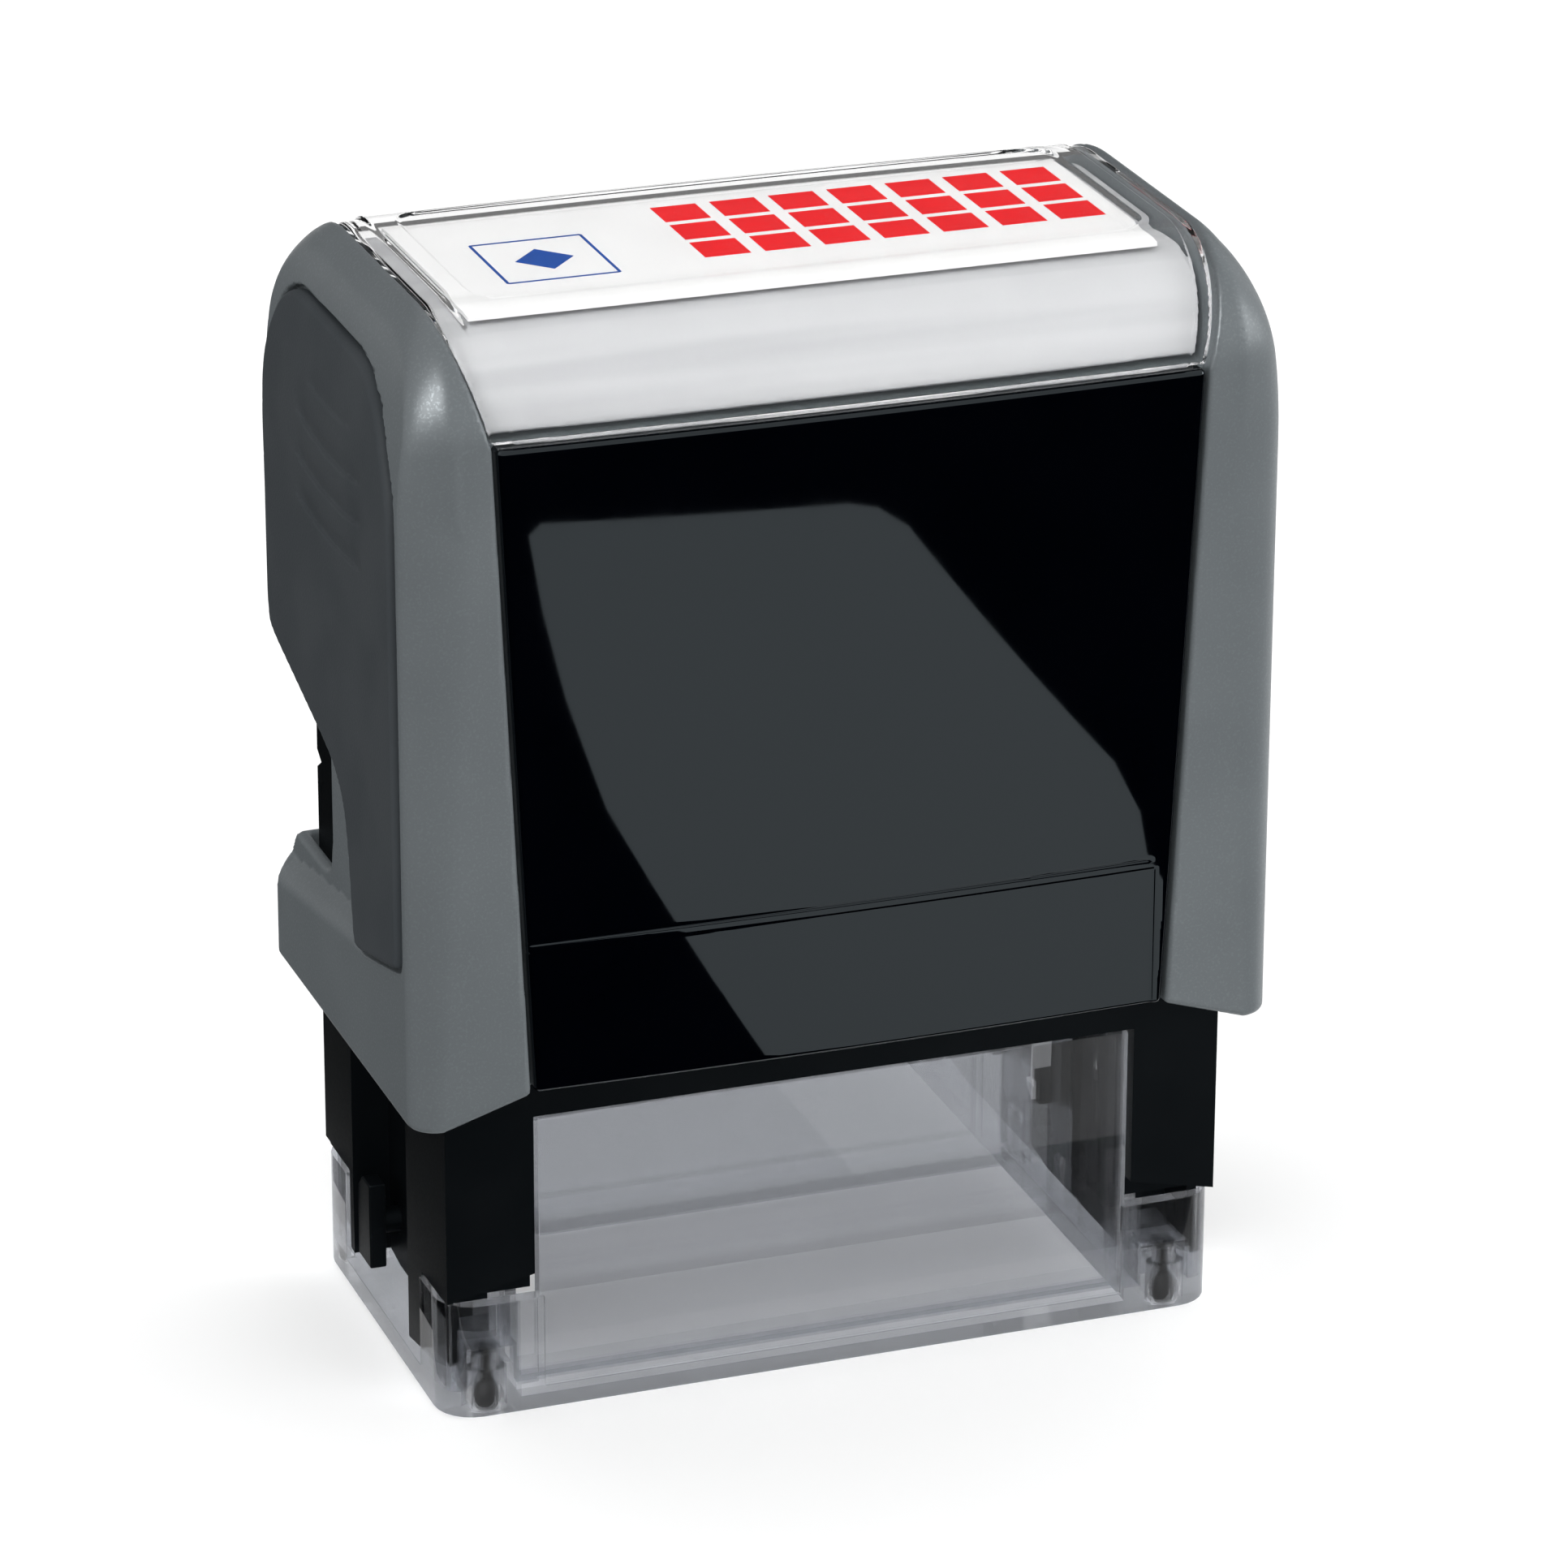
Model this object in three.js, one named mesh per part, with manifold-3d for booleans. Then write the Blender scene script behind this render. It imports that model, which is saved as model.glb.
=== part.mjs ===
// A self-inking text stamp for a 47 x 18 mm impression, standing at rest on its base.
// Millimetres, +Z up, front towards -Y, origin at the bottom centre.
//
// The base (clear foot and black inner frame) stands on the paper. The housing slides down
// over it against two springs and carries the platen's trunnions with it. A pin at each end
// of the platen runs in a curved groove of the frame and turns the platen over on the way
// down, from the ink pad above it to the paper below it.

import * as THREE from 'three';
import { mergeVertices } from 'three/addons/utils/BufferGeometryUtils.js';
import Module from 'manifold-3d';

const wasm = await Module();
wasm.setup();

// ---------------------------------------------------------------- driving dimensions

const GAP = 0.3;                 // between neighbouring pieces
const STROKE = 23.8;             // travel of the housing

const HOUSING = {
  halfWidth: 33.6, halfDepth: 19.3, height: 85.3, bottom: 24.9,
  topFlatY: 9, shoulderZ: 76.5,            // side view: flat top, then an elliptical shoulder
  topFlatX: 29.2, armShoulderZ: 70,        // front view: the arms lean in above this height
  cornerRadius: 2.4, cavityX: 30.8, cavityY: 16.3, cavityTop: 80.1, shaftTop: 75.9,
};
const PANEL = {                  // front and rear panels, tapering downwards
  topX: 26.85, bottomX: 24.5, topZ: 76.75, bottomZ: 27.2, thickness: 1.6, rearBottomZ: 67.5,
};
const COVER = { bottomZ: 77, topX: 29.2, bottomX: 26.85, thickness: 1.3 };
const FRAME = {
  halfX: 30.5, halfY: 15.7, innerX: 25.6, innerY: 13.2, bottom: 2.6, top: 51.6,
  windowX: 23.7, windowTop: 23.9, deck: 1.6, recessX: 27.6, recessFront: -5.8, recessRear: 8.4,
};
const BASE = {
  halfX: 30.8, halfY: 15.9, bottom: 0.2, plateTop: 2, cornerRadius: 3, columnTop: 9.3,
  paneX: 23.3, paneTop: 23.6, paneThickness: 1.2, paneY: 15.5, apertureX: 24.2, apertureY: 12.4,
  sideWall: 0.7, cornerWall: 1.2, innerRadius: 0.8, wallFromY: 9.6,
  pocketInnerX: 24.9, pocketOuterX: 28.7, pocketY: 11.7, pocketTop: 5.3,
};
const FOOT = { x: 27.1, y: 13.7, radius: 1.3, neckRadius: 0.8, height: 4.6, clearance: 0.2 };
const PLATEN = {
  axleZ: 30, dieHeight: 6, dieX: 23.5, dieY: 9, holderX: 23.9, holderY: 8.6,
  trunnionRadius: 1.5, camRadius: 3.4, camPinRadius: 1, hubRadius: 4,
};
const CARTRIDGE = { halfX: 25.2, halfY: 12.6, bottom: 36, top: 43.2, padZ: 36.3, padX: 24, padY: 9.8 };
const SLIDER = {
  innerX: 27.9, outerX: 30.2, halfY: 4.2, legInnerY: 2.5, bottom: 26.2, plateTop: 35.6, top: 79.8,
};
const SPRING = { x: 28.05, seatZ: 38, topZ: 79.8, coilRadius: 1.8, wireRadius: 0.36, turns: 11 };
const LOCK = { y: 6.4, z: 6.4, capInnerX: 29, capOuterX: 30.3, stemRadius: 1, push: 1.2 };
const SIDES = { left: -1, right: 1 };

// ---------------------------------------------------------------- solids and cuts

function solidOf(geometry) {
  const bare = geometry.clone();
  bare.deleteAttribute('normal');
  bare.deleteAttribute('uv');
  const merged = mergeVertices(bare, 1e-4);
  return new wasm.Manifold(new wasm.Mesh({
    numProp: 3,
    vertProperties: new Float32Array(merged.attributes.position.array),
    triVerts: new Uint32Array(merged.index.array),
  }));
}

function geometryOf(solid) {
  const mesh = solid.getMesh();
  const geometry = new THREE.BufferGeometry();
  geometry.setAttribute('position', new THREE.BufferAttribute(new Float32Array(mesh.vertProperties), 3));
  geometry.setIndex(new THREE.BufferAttribute(new Uint32Array(mesh.triVerts), 1));
  geometry.computeVertexNormals();
  return geometry;
}

function block([x0, x1], [y0, y1], [z0, z1]) {
  const [lx, hx] = [Math.min(x0, x1), Math.max(x0, x1)];
  const geometry = new THREE.BoxGeometry(hx - lx, y1 - y0, z1 - z0);
  geometry.translate((lx + hx) / 2, (y0 + y1) / 2, (z0 + z1) / 2);
  return solidOf(geometry);
}

function prism(points, depth, basis, origin) {
  const shape = new THREE.Shape(points.map(([a, b]) => new THREE.Vector2(a, b)));
  const geometry = new THREE.ExtrudeGeometry(shape, { depth, bevelEnabled: false, steps: 1 });
  geometry.applyMatrix4(new THREE.Matrix4().makeBasis(...basis));
  geometry.translate(...origin);
  return solidOf(geometry);
}

const AXIS_X = new THREE.Vector3(1, 0, 0);
const AXIS_Y = new THREE.Vector3(0, 1, 0);
const AXIS_Z = new THREE.Vector3(0, 0, 1);

// points are (y, z) pairs
function prismX(points, xa, xb) {
  const low = Math.min(xa, xb);
  return prism(points, Math.abs(xb - xa), [AXIS_Y, AXIS_Z, AXIS_X], [low, 0, 0]);
}

// points are (x, z) pairs
function prismY(points, ya, yb) {
  const high = Math.max(ya, yb);
  return prism(points, Math.abs(yb - ya), [AXIS_X, AXIS_Z, AXIS_Y.clone().negate()], [0, high, 0]);
}

// points are (x, y) pairs
function prismZ(points, za, zb) {
  return prism(points, zb - za, [AXIS_X, AXIS_Y, AXIS_Z], [0, 0, za]);
}

function circle(cx, cy, radius, segments = 16) {
  const points = [];
  for (let i = 0; i < segments; i += 1) {
    const a = (2 * Math.PI * i) / segments;
    points.push([cx + radius * Math.cos(a), cy + radius * Math.sin(a)]);
  }
  return points;
}

function roundedRectangle(halfX, halfY, radius, segments = 6) {
  const points = [];
  const corners = [[1, 1, 0], [-1, 1, 1], [-1, -1, 2], [1, -1, 3]];
  for (const [sx, sy, quarter] of corners) {
    for (let i = 0; i <= segments; i += 1) {
      const a = (Math.PI / 2) * (quarter + i / segments);
      const [x, y] = [sx * (halfX - radius), sy * (halfY - radius)];
      points.push([x + radius * Math.cos(a), y + radius * Math.sin(a)]);
    }
  }
  return points;
}

function growPolygon(points, distance) {
  const area = points.reduce((sum, [x, y], i) => {
    const [u, v] = points[(i + 1) % points.length];
    return sum + x * v - u * y;
  }, 0);
  const outward = area > 0 ? distance : -distance;
  return points.map((point, i) => {
    const before = points[(i + points.length - 1) % points.length];
    const after = points[(i + 1) % points.length];
    const a = new THREE.Vector2(point[0] - before[0], point[1] - before[1]).normalize();
    const b = new THREE.Vector2(after[0] - point[0], after[1] - point[1]).normalize();
    const normal = new THREE.Vector2(a.y + b.y, -a.x - b.x);
    const scale = (2 * outward) / normal.lengthSq();
    return [point[0] + normal.x * scale, point[1] + normal.y * scale];
  });
}

// ---------------------------------------------------------------- the outer form

const SHOULDER_STEPS = 10;

// Outline with straight sides, elliptical shoulders and a flat top, set in by an offset.
function domeOutline(half, flat, shoulderZ, top, bottom, offset) {
  const [a, b] = [half - flat - offset, top - shoulderZ - offset];
  const rise = [];
  for (let i = 0; i <= SHOULDER_STEPS; i += 1) {
    const angle = (Math.PI / 2) * (i / SHOULDER_STEPS);
    rise.push([flat + a * Math.cos(angle), shoulderZ + b * Math.sin(angle)]);
  }
  const right = [[half - offset, bottom], ...rise];
  const left = right.map(([x, z]) => [-x, z]).reverse();
  return [...right, ...left];
}

function sideOutline(offset, bottom = HOUSING.bottom) {
  return domeOutline(HOUSING.halfDepth, HOUSING.topFlatY, HOUSING.shoulderZ, HOUSING.height, bottom, offset);
}

function frontOutline(offset, bottom = HOUSING.bottom) {
  return domeOutline(HOUSING.halfWidth, HOUSING.topFlatX, HOUSING.armShoulderZ, HOUSING.height, bottom, offset);
}

// Half width of the panels and of the cover at a height.
function panelHalfWidth(z) {
  if (z > PANEL.topZ) {
    const t = (z - PANEL.topZ) / (HOUSING.height - PANEL.topZ);
    return COVER.bottomX + t * (COVER.topX - COVER.bottomX);
  }
  const t = (z - PANEL.bottomZ) / (PANEL.topZ - PANEL.bottomZ);
  return PANEL.bottomX + t * (PANEL.topX - PANEL.bottomX);
}

function taperedStrip(lowZ, highZ, grow, y0, y1) {
  const [low, high] = [panelHalfWidth(lowZ) + grow, panelHalfWidth(highZ) + grow];
  return prismY([[-low, lowZ], [low, lowZ], [high, highZ], [-high, highZ]], y0, y1);
}

function shoulderShell(outerOffset, innerOffset, lowZ, grow) {
  const reach = HOUSING.halfDepth + 1;
  const outer = prismX(sideOutline(outerOffset), -40, 40);
  const inner = prismX(sideOutline(innerOffset), -41, 41);
  return outer.subtract(inner).intersect(taperedStrip(lowZ, HOUSING.height + 1, grow, -reach, reach));
}

// ---------------------------------------------------------------- housing and what it carries

const GRIP_OUTLINE = [
  [-16.5, 73], [-16.5, 37.5], [-15.9, 36.9], [-5.6, 34.5], [-4.7, 35], [-4, 41], [-3, 45], [-0.6, 47.2],
  [2.6, 48.3], [15.2, 52], [15.8, 53], [15.8, 70], [14.4, 75], [11, 78.6], [8, 79.8], [-8, 79.8], [-12.6, 78.2],
];

function gripShell(outline, outerOffset, innerOffset, side) {
  const skin = prismY(frontOutline(outerOffset, 20), -30, 30)
    .subtract(prismY(frontOutline(innerOffset, 19), -31, 31));
  return skin.intersect(prismX(outline, side * 28, side * 40));
}

function makeHousing() {
  const { halfWidth, halfDepth, height, bottom, cavityX, cavityY, cavityTop, shaftTop } = HOUSING;
  const wide = 60;
  let shell = prismX(sideOutline(0), -wide, wide)
    .intersect(prismY(frontOutline(0), -wide, wide))
    .intersect(prismZ(roundedRectangle(halfWidth, halfDepth, HOUSING.cornerRadius), bottom - 1, height + 1));

  // shaft for the inner frame, and the lower hollow under the top deck
  const hollow = prismX(sideOutline(5.2, shaftTop - 1), -cavityX, cavityX);
  shell = shell
    .subtract(block([-cavityX, cavityX], [-cavityY, cavityY], [bottom - 5, shaftTop]))
    .subtract(hollow.intersect(block([-cavityX, cavityX], [-wide, wide], [shaftTop - 1, cavityTop])));

  // seat of the cover, card and bed on top
  const deck = prismX(sideOutline(COVER.thickness + 2.4, 20), -wide, wide);
  const seat = taperedStrip(COVER.bottomZ - 0.2, height + 1, GAP, -wide, wide).subtract(deck);
  shell = shell.subtract(seat);

  // front: seat of the panel, and the arms' lower edge rising towards the middle
  const panelSeat = halfDepth - PANEL.thickness - GAP;
  shell = shell
    .subtract(taperedStrip(bottom - 1, COVER.bottomZ, GAP, -wide, -panelSeat))
    .subtract(prismY([[-31.4, bottom - 1], [-31.4, bottom], [-24.5, PANEL.bottomZ], [24.5, PANEL.bottomZ],
      [31.4, bottom], [31.4, bottom - 1]], -wide, 0));

  // rear: seat of the upper panel, open below it, and the side notches that give way to the cartridge
  const ledge = 35;
  shell = shell
    .subtract(taperedStrip(PANEL.rearBottomZ - GAP, COVER.bottomZ, GAP, panelSeat, wide))
    .subtract(taperedStrip(ledge, PANEL.rearBottomZ, GAP, 10, wide))
    .subtract(prismX([[7.2, 38], [7.8, 36], [9.2, ledge], [wide, ledge], [wide, 53.4], [16.3, 52.4],
      [7.2, 49.6]], -wide, wide))
    .subtract(prismX([[halfDepth - 2.6, ledge + 0.1], [halfDepth + 1, ledge + 0.1], [halfDepth + 1, 30]],
      -wide, wide));
  for (const side of Object.values(SIDES)) {
    const chamfer = prismY([[side * (halfWidth - 2.4), ledge + 0.1], [side * (halfWidth + 1), ledge + 0.1],
      [side * (halfWidth + 1), 30.4]], 2, wide);
    shell = shell.subtract(chamfer).subtract(gripShell(growPolygon(GRIP_OUTLINE, GAP), -2, 0.9, side));
  }
  return shell;
}

function makePanel(y0, y1, bottomZ) {
  return taperedStrip(bottomZ, PANEL.topZ, 0, y0, y1);
}

// Two legs hang from the housing's top deck beside the spring; the plate below holds a trunnion.
function makeSlider(side) {
  const { innerX, outerX, halfY, legInnerY, bottom, plateTop, top } = SLIDER;
  const x = [side * innerX, side * outerX];
  return block(x, [-halfY, halfY], [bottom, plateTop])
    .add(block(x, [legInnerY, halfY], [plateTop - 1, top]))
    .add(block(x, [-halfY, -legInnerY], [plateTop - 1, top]))
    .subtract(prismX(circle(0, PLATEN.axleZ, PLATEN.trunnionRadius + 0.4), side * 20, side * 40));
}

// ---------------------------------------------------------------- base: clear foot, frame, feet, springs

function makeClearBase() {
  const { halfX, halfY, bottom, plateTop, columnTop, paneX, paneTop, paneThickness, paneY, cornerRadius } = BASE;
  const outline = roundedRectangle(halfX, halfY, cornerRadius);
  const inside = roundedRectangle(halfX - BASE.sideWall, halfY - BASE.cornerWall, BASE.innerRadius);
  const wall = prismZ(outline, bottom, columnTop).subtract(prismZ(inside, bottom - 1, columnTop + 1));
  const pocketBlock = prismZ(outline, bottom, BASE.pocketTop);
  let base = prismZ(outline, bottom, plateTop)
    .subtract(block([-BASE.apertureX, BASE.apertureX], [-BASE.apertureY, BASE.apertureY], [-1, 5]));
  for (const sy of [-1, 1]) {
    const depth = (a, b) => [Math.min(sy * a, sy * b), Math.max(sy * a, sy * b)];
    base = base.add(block([-paneX, paneX], depth(paneY - paneThickness, paneY), [bottom, paneTop]));
    for (const sx of [-1, 1]) {
      const corner = block([sx * (paneX - 0.3), sx * halfX], depth(BASE.wallFromY, halfY), [bottom, columnTop]);
      const pocket = block([sx * BASE.pocketInnerX, sx * BASE.pocketOuterX], depth(BASE.pocketY, halfY),
        [bottom, BASE.pocketTop]);
      base = base
        .add(wall.intersect(corner))
        .add(pocketBlock.intersect(pocket))
        .add(block([sx * 24.3, sx * 25.3], depth(8.8, 12.9), [bottom, 21]));
    }
  }
  for (const [x, y] of footPlaces()) {
    base = base
      .subtract(prismZ(circle(x, y, FOOT.radius + FOOT.clearance), -1, 3.6))
      .subtract(prismZ(circle(x, y, FOOT.neckRadius + FOOT.clearance, 12), -1, FOOT.height + GAP));
  }
  return base;
}

function footPlaces() {
  return [[-FOOT.x, -FOOT.y], [FOOT.x, -FOOT.y], [-FOOT.x, FOOT.y], [FOOT.x, FOOT.y]];
}

function makeFoot(x, y) {
  const { radius, neckRadius, height } = FOOT;
  const profile = [[0, 0], [radius * 0.6, 0], [radius * 0.92, 0.45], [radius, 1.1], [radius * 0.92, 1.8],
    [neckRadius, 2.4], [neckRadius, height], [0, height]].map(([r, z]) => new THREE.Vector2(r, z));
  const geometry = new THREE.LatheGeometry(profile, 16);
  geometry.rotateX(Math.PI / 2);
  geometry.translate(x, y, 0);
  return solidOf(geometry);
}

// Track of the cam pin: the platen turns evenly through half a turn over the stroke.
function camGroove(width) {
  const steps = 18;
  const [left, right] = [[], []];
  for (let i = 0; i <= steps; i += 1) {
    const angle = (Math.PI * i) / steps;
    const drop = (STROKE * i) / steps;
    const point = [PLATEN.camRadius * Math.cos(angle), PLATEN.axleZ - drop + PLATEN.camRadius * Math.sin(angle)];
    const slope = new THREE.Vector2(-PLATEN.camRadius * Math.sin(angle),
      -STROKE / Math.PI + PLATEN.camRadius * Math.cos(angle)).normalize();
    const end = i === 0 ? -width : i === steps ? width : 0;
    const [px, py] = [point[0] + slope.x * end, point[1] + slope.y * end];
    left.push([px - slope.y * width, py + slope.x * width]);
    right.unshift([px + slope.y * width, py - slope.x * width]);
  }
  return [...left, ...right];
}

function makeFrame() {
  const { halfX, halfY, innerX, innerY, bottom, top, windowX, windowTop } = FRAME;
  const cavity = [-innerX, innerX];
  let frame = block([-halfX, halfX], [-halfY, halfY], [bottom, top])
    .subtract(block(cavity, [-innerY, innerY], [bottom - 1, top + 1]))
    .subtract(block([-windowX, windowX], [-halfY - 1, halfY + 1], [bottom - 1, windowTop]))
    .subtract(block([-innerX, innerX], [0, halfY + 1], [CARTRIDGE.bottom - GAP, CARTRIDGE.top + GAP]))
    .add(block([-innerX - 0.5, innerX + 0.5], [-innerY - 0.5, innerY + 0.5],
      [CARTRIDGE.top + GAP, CARTRIDGE.top + GAP + FRAME.deck]));

  for (const side of Object.values(SIDES)) {
    const wall = [side * (innerX - 1), side * (FRAME.recessX + 0.01)];
    const slot = [...circle(0, PLATEN.axleZ, 1.85).slice(0, 9), ...circle(0, PLATEN.axleZ - STROKE, 1.85).slice(8)];
    frame = frame
      .subtract(block([side * FRAME.recessX, side * (halfX + 1)], [FRAME.recessFront, FRAME.recessRear],
        [bottom - 1, top + 1]))
      .subtract(prismX(slot, ...wall))
      .subtract(prismX(camGroove(1.35), side * (innerX - 1), side * (innerX + 1.4)))
      .subtract(block(wall, [-SLIDER.legInnerY, SLIDER.legInnerY], [SPRING.seatZ, top + 1]))
      .subtract(prismX(circle(LOCK.y, LOCK.z, LOCK.stemRadius + GAP, 12), ...wall))
      .add(block([side * (innerX + 0.5), side * 30.3], [-2.2, 2.2], [SLIDER.plateTop + GAP, SPRING.seatZ]))
      .add(block([side * (innerX - 1), side * (innerX + 0.5)], [-12, 12], [34.7, CARTRIDGE.bottom - GAP]));

    // the legs end above the clear corners, with a thin tongue in each corner and a nick at the rear
    for (const sy of [-1, 1]) {
      const depth = (a, b) => [Math.min(sy * a, sy * b), Math.max(sy * a, sy * b)];
      const foot = [bottom - 1, 9.6];
      frame = frame
        .subtract(block([side * 22, side * 40], depth(14.1, 20), foot))
        .subtract(block([side * 22, side * 29], depth(9.9, 15), foot))
        .subtract(block([side * 29.8, side * 40], depth(BASE.wallFromY - GAP, 20), foot))
        .subtract(prismY([[side * 22, 9], [side * 31, 9], [side * 31, 9.6], [side * 22, 11.6]],
          ...depth(14.45, 20)))
        .subtract(prismX([[sy * 6, 1], [sy * 6, bottom], [sy * 16, 4.2], [sy * 16, 1]], side * 20, side * 40))
        .subtract(block([side * 22, side * (25.3 + GAP)], depth(8.5, 13.2), [bottom - 1, 21.3]));
    }
    frame = frame.subtract(prismX([[16, 42.1], [14.6, 41.2], [16, 40.3]], side * 27, side * 31));
  }
  return frame;
}

function makeSpring(side) {
  const { x, seatZ, topZ, coilRadius, wireRadius, turns } = SPRING;
  const [low, high] = [seatZ + GAP + wireRadius, topZ - GAP - wireRadius];
  class Helix extends THREE.Curve {
    getPoint(t, target = new THREE.Vector3()) {
      const angle = 2 * Math.PI * turns * t;
      const across = side * x + coilRadius * Math.cos(angle);
      return target.set(across, coilRadius * Math.sin(angle), low + (high - low) * t);
    }
  }
  const section = new THREE.Shape(circle(0, 0, wireRadius, 5).map(([a, b]) => new THREE.Vector2(a, b)));
  return new THREE.ExtrudeGeometry(section, { steps: turns * 8, extrudePath: new Helix(), bevelEnabled: false });
}

// ---------------------------------------------------------------- platen, cartridge, locks

function makePlatenHolder() {
  const { axleZ, holderX, holderY, trunnionRadius, camRadius, camPinRadius, hubRadius } = PLATEN;
  let holder = block([-holderX, holderX], [-holderY, holderY], [axleZ - 3.6, axleZ + 3.4]);
  for (const side of Object.values(SIDES)) {
    holder = holder
      .add(prismX(circle(0, axleZ, hubRadius), side * (holderX - 0.1), side * 25.3))
      .add(prismX(circle(0, axleZ, trunnionRadius, 32), side * (holderX - 1), side * 30))
      .add(prismX(circle(camRadius, axleZ, camPinRadius, 12), side * 25, side * 26.7));
  }
  return holder;
}

function makeDie() {
  const { axleZ, dieHeight, dieX, dieY } = PLATEN;
  let die = block([-dieX, dieX], [-dieY, dieY], [axleZ + 4.8, axleZ + dieHeight - 0.6]);
  for (const [x0, x1, y0, y1] of dieBars()) {
    die = die.add(block([x0, x1], [y0, y1], [axleZ + dieHeight - 0.8, axleZ + dieHeight]));
  }
  return die;
}

// Relief of the impression: a square at one end and plain bars beside it.
function dieBars() {
  const bars = [[-21.5, -11.5, -6, 6]];
  for (let i = 0; i < 3; i += 1) {
    bars.push([-8, 21.5 - 5 * i, -6.5 + 5 * i, -3.5 + 5 * i]);
  }
  return bars;
}

function makeCartridge() {
  const { halfX, halfY, bottom, top, padX, padY } = CARTRIDGE;
  return block([-halfX, halfX], [-halfY, halfY], [bottom, top])
    .subtract(block([-padX - GAP, padX + GAP], [-padY - GAP, padY + GAP], [bottom - 1, 40.4]))
    .subtract(block([-halfX + 2, halfX - 2], [-halfY + 2, halfY - 2], [41.6, top + 1]));
}

// Finger grip at the tray's rear end, ribbed across.
function makeCartridgeGrip() {
  const { halfX, halfY, bottom, top } = CARTRIDGE;
  let grip = block([-halfX + 1, halfX - 1], [halfY + GAP, 15.4], [bottom + 0.4, top - 0.4]);
  for (let i = -3; i <= 3; i += 1) {
    grip = grip.add(block([i * 3 - 0.6, i * 3 + 0.6], [15.2, 15.9], [bottom + 1.4, top - 1.4]));
  }
  return grip;
}

function makeLockButton(side) {
  const { y, z, capInnerX, capOuterX, stemRadius, push } = LOCK;
  const cap = [[y - 1.6, z - 3.2], [y + 1.6, z - 3.2], [y + 1.6, z + 2.6], [y + 0.4, z + 3.8], [y - 1.6, z + 3.8]];
  return prismX(cap, side * capInnerX, side * capOuterX)
    .add(prismX(circle(y, z, stemRadius, 12), side * (FRAME.innerX + push + 0.1), side * (capInnerX + 0.3)));
}

// ---------------------------------------------------------------- finishes and assembly

const FINISHES = {
  satinGrey: { color: 0x727980, roughness: 0.42, metalness: 0.15 },
  glossBlack: { color: 0x0a0b0c, roughness: 0.06, metalness: 0 },
  satinBlack: { color: 0x141618, roughness: 0.4, metalness: 0 },
  softGrip: { color: 0x3a3e41, roughness: 0.75, metalness: 0 },
  clear: { color: 0xe6ebee, roughness: 0.05, metalness: 0 },
  white: { color: 0xf3f3f2, roughness: 0.5, metalness: 0 },
  rubberBlack: { color: 0x121212, roughness: 0.8, metalness: 0 },
  rubberRed: { color: 0x8a2a22, roughness: 0.7, metalness: 0 },
  felt: { color: 0x7d1418, roughness: 0.95, metalness: 0 },
  steel: { color: 0xb9bcc0, roughness: 0.3, metalness: 1 },
};

const stamp = new THREE.Group();

function place(name, shape, finish) {
  const geometry = shape.isBufferGeometry ? shape : geometryOf(shape);
  const mesh = new THREE.Mesh(geometry, new THREE.MeshStandardMaterial(FINISHES[finish]));
  mesh.name = name;
  stamp.add(mesh);
}

place('clear_base', makeClearBase(), 'clear');
place('inner_frame', makeFrame(), 'satinBlack');
const footNames = ['foot_front_left', 'foot_front_right', 'foot_rear_left', 'foot_rear_right'];
footPlaces().forEach(([x, y], i) => place(footNames[i], makeFoot(x, y), 'rubberBlack'));

place('housing', makeHousing(), 'satinGrey');
const panelInnerY = HOUSING.halfDepth - PANEL.thickness;
place('front_panel', makePanel(-HOUSING.halfDepth, -panelInnerY, PANEL.bottomZ), 'glossBlack');
place('rear_panel', makePanel(panelInnerY, HOUSING.halfDepth, PANEL.rearBottomZ), 'glossBlack');
place('top_bed', shoulderShell(2.15, 3.4, COVER.bottomZ + 0.2, -0.2), 'white');
const card = shoulderShell(1.6, 1.85, 80, -2.5).intersect(block([-40, 40], [-13.5, 13.5], [80, 90]));
place('index_card', card, 'white');
place('index_cover', shoulderShell(0, COVER.thickness, COVER.bottomZ, 0), 'clear');

for (const [name, side] of Object.entries(SIDES)) {
  place(`grip_${name}`, gripShell(GRIP_OUTLINE, -0.4, 0.6, side), 'softGrip');
  place(`slider_${name}`, makeSlider(side), 'satinBlack');
  place(`spring_${name}`, makeSpring(side), 'steel');
  place(`lock_button_${name}`, makeLockButton(side), 'satinBlack');
}

place('platen_holder', makePlatenHolder(), 'satinBlack');
const textPlate = block([-23.5, 23.5], [-PLATEN.dieY, PLATEN.dieY], [PLATEN.axleZ + 3.7, PLATEN.axleZ + 4.5]);
place('text_plate', textPlate, 'white');
place('rubber_die', makeDie(), 'rubberRed');

place('cartridge_tray', makeCartridge(), 'satinBlack');
place('cartridge_grip', makeCartridgeGrip(), 'satinBlack');
const { padX, padY, padZ } = CARTRIDGE;
place('ink_pad', block([-padX, padX], [-padY, padY], [padZ, 40.1]), 'felt');

export default stamp;
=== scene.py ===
"""Looks of a self-inking stamp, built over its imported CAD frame.

Sizes in the classes are millimetres; meshes are made in metres, in the frame of the CAD part.
Most shells are cast from a signed distance, so that their edges are evenly rounded.
"""

import logging
import math
from dataclasses import dataclass
from enum import Enum
from functools import reduce
from typing import Callable

import bmesh
import bpy
import numpy as np
from mathutils import Matrix, Quaternion, Vector


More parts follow.
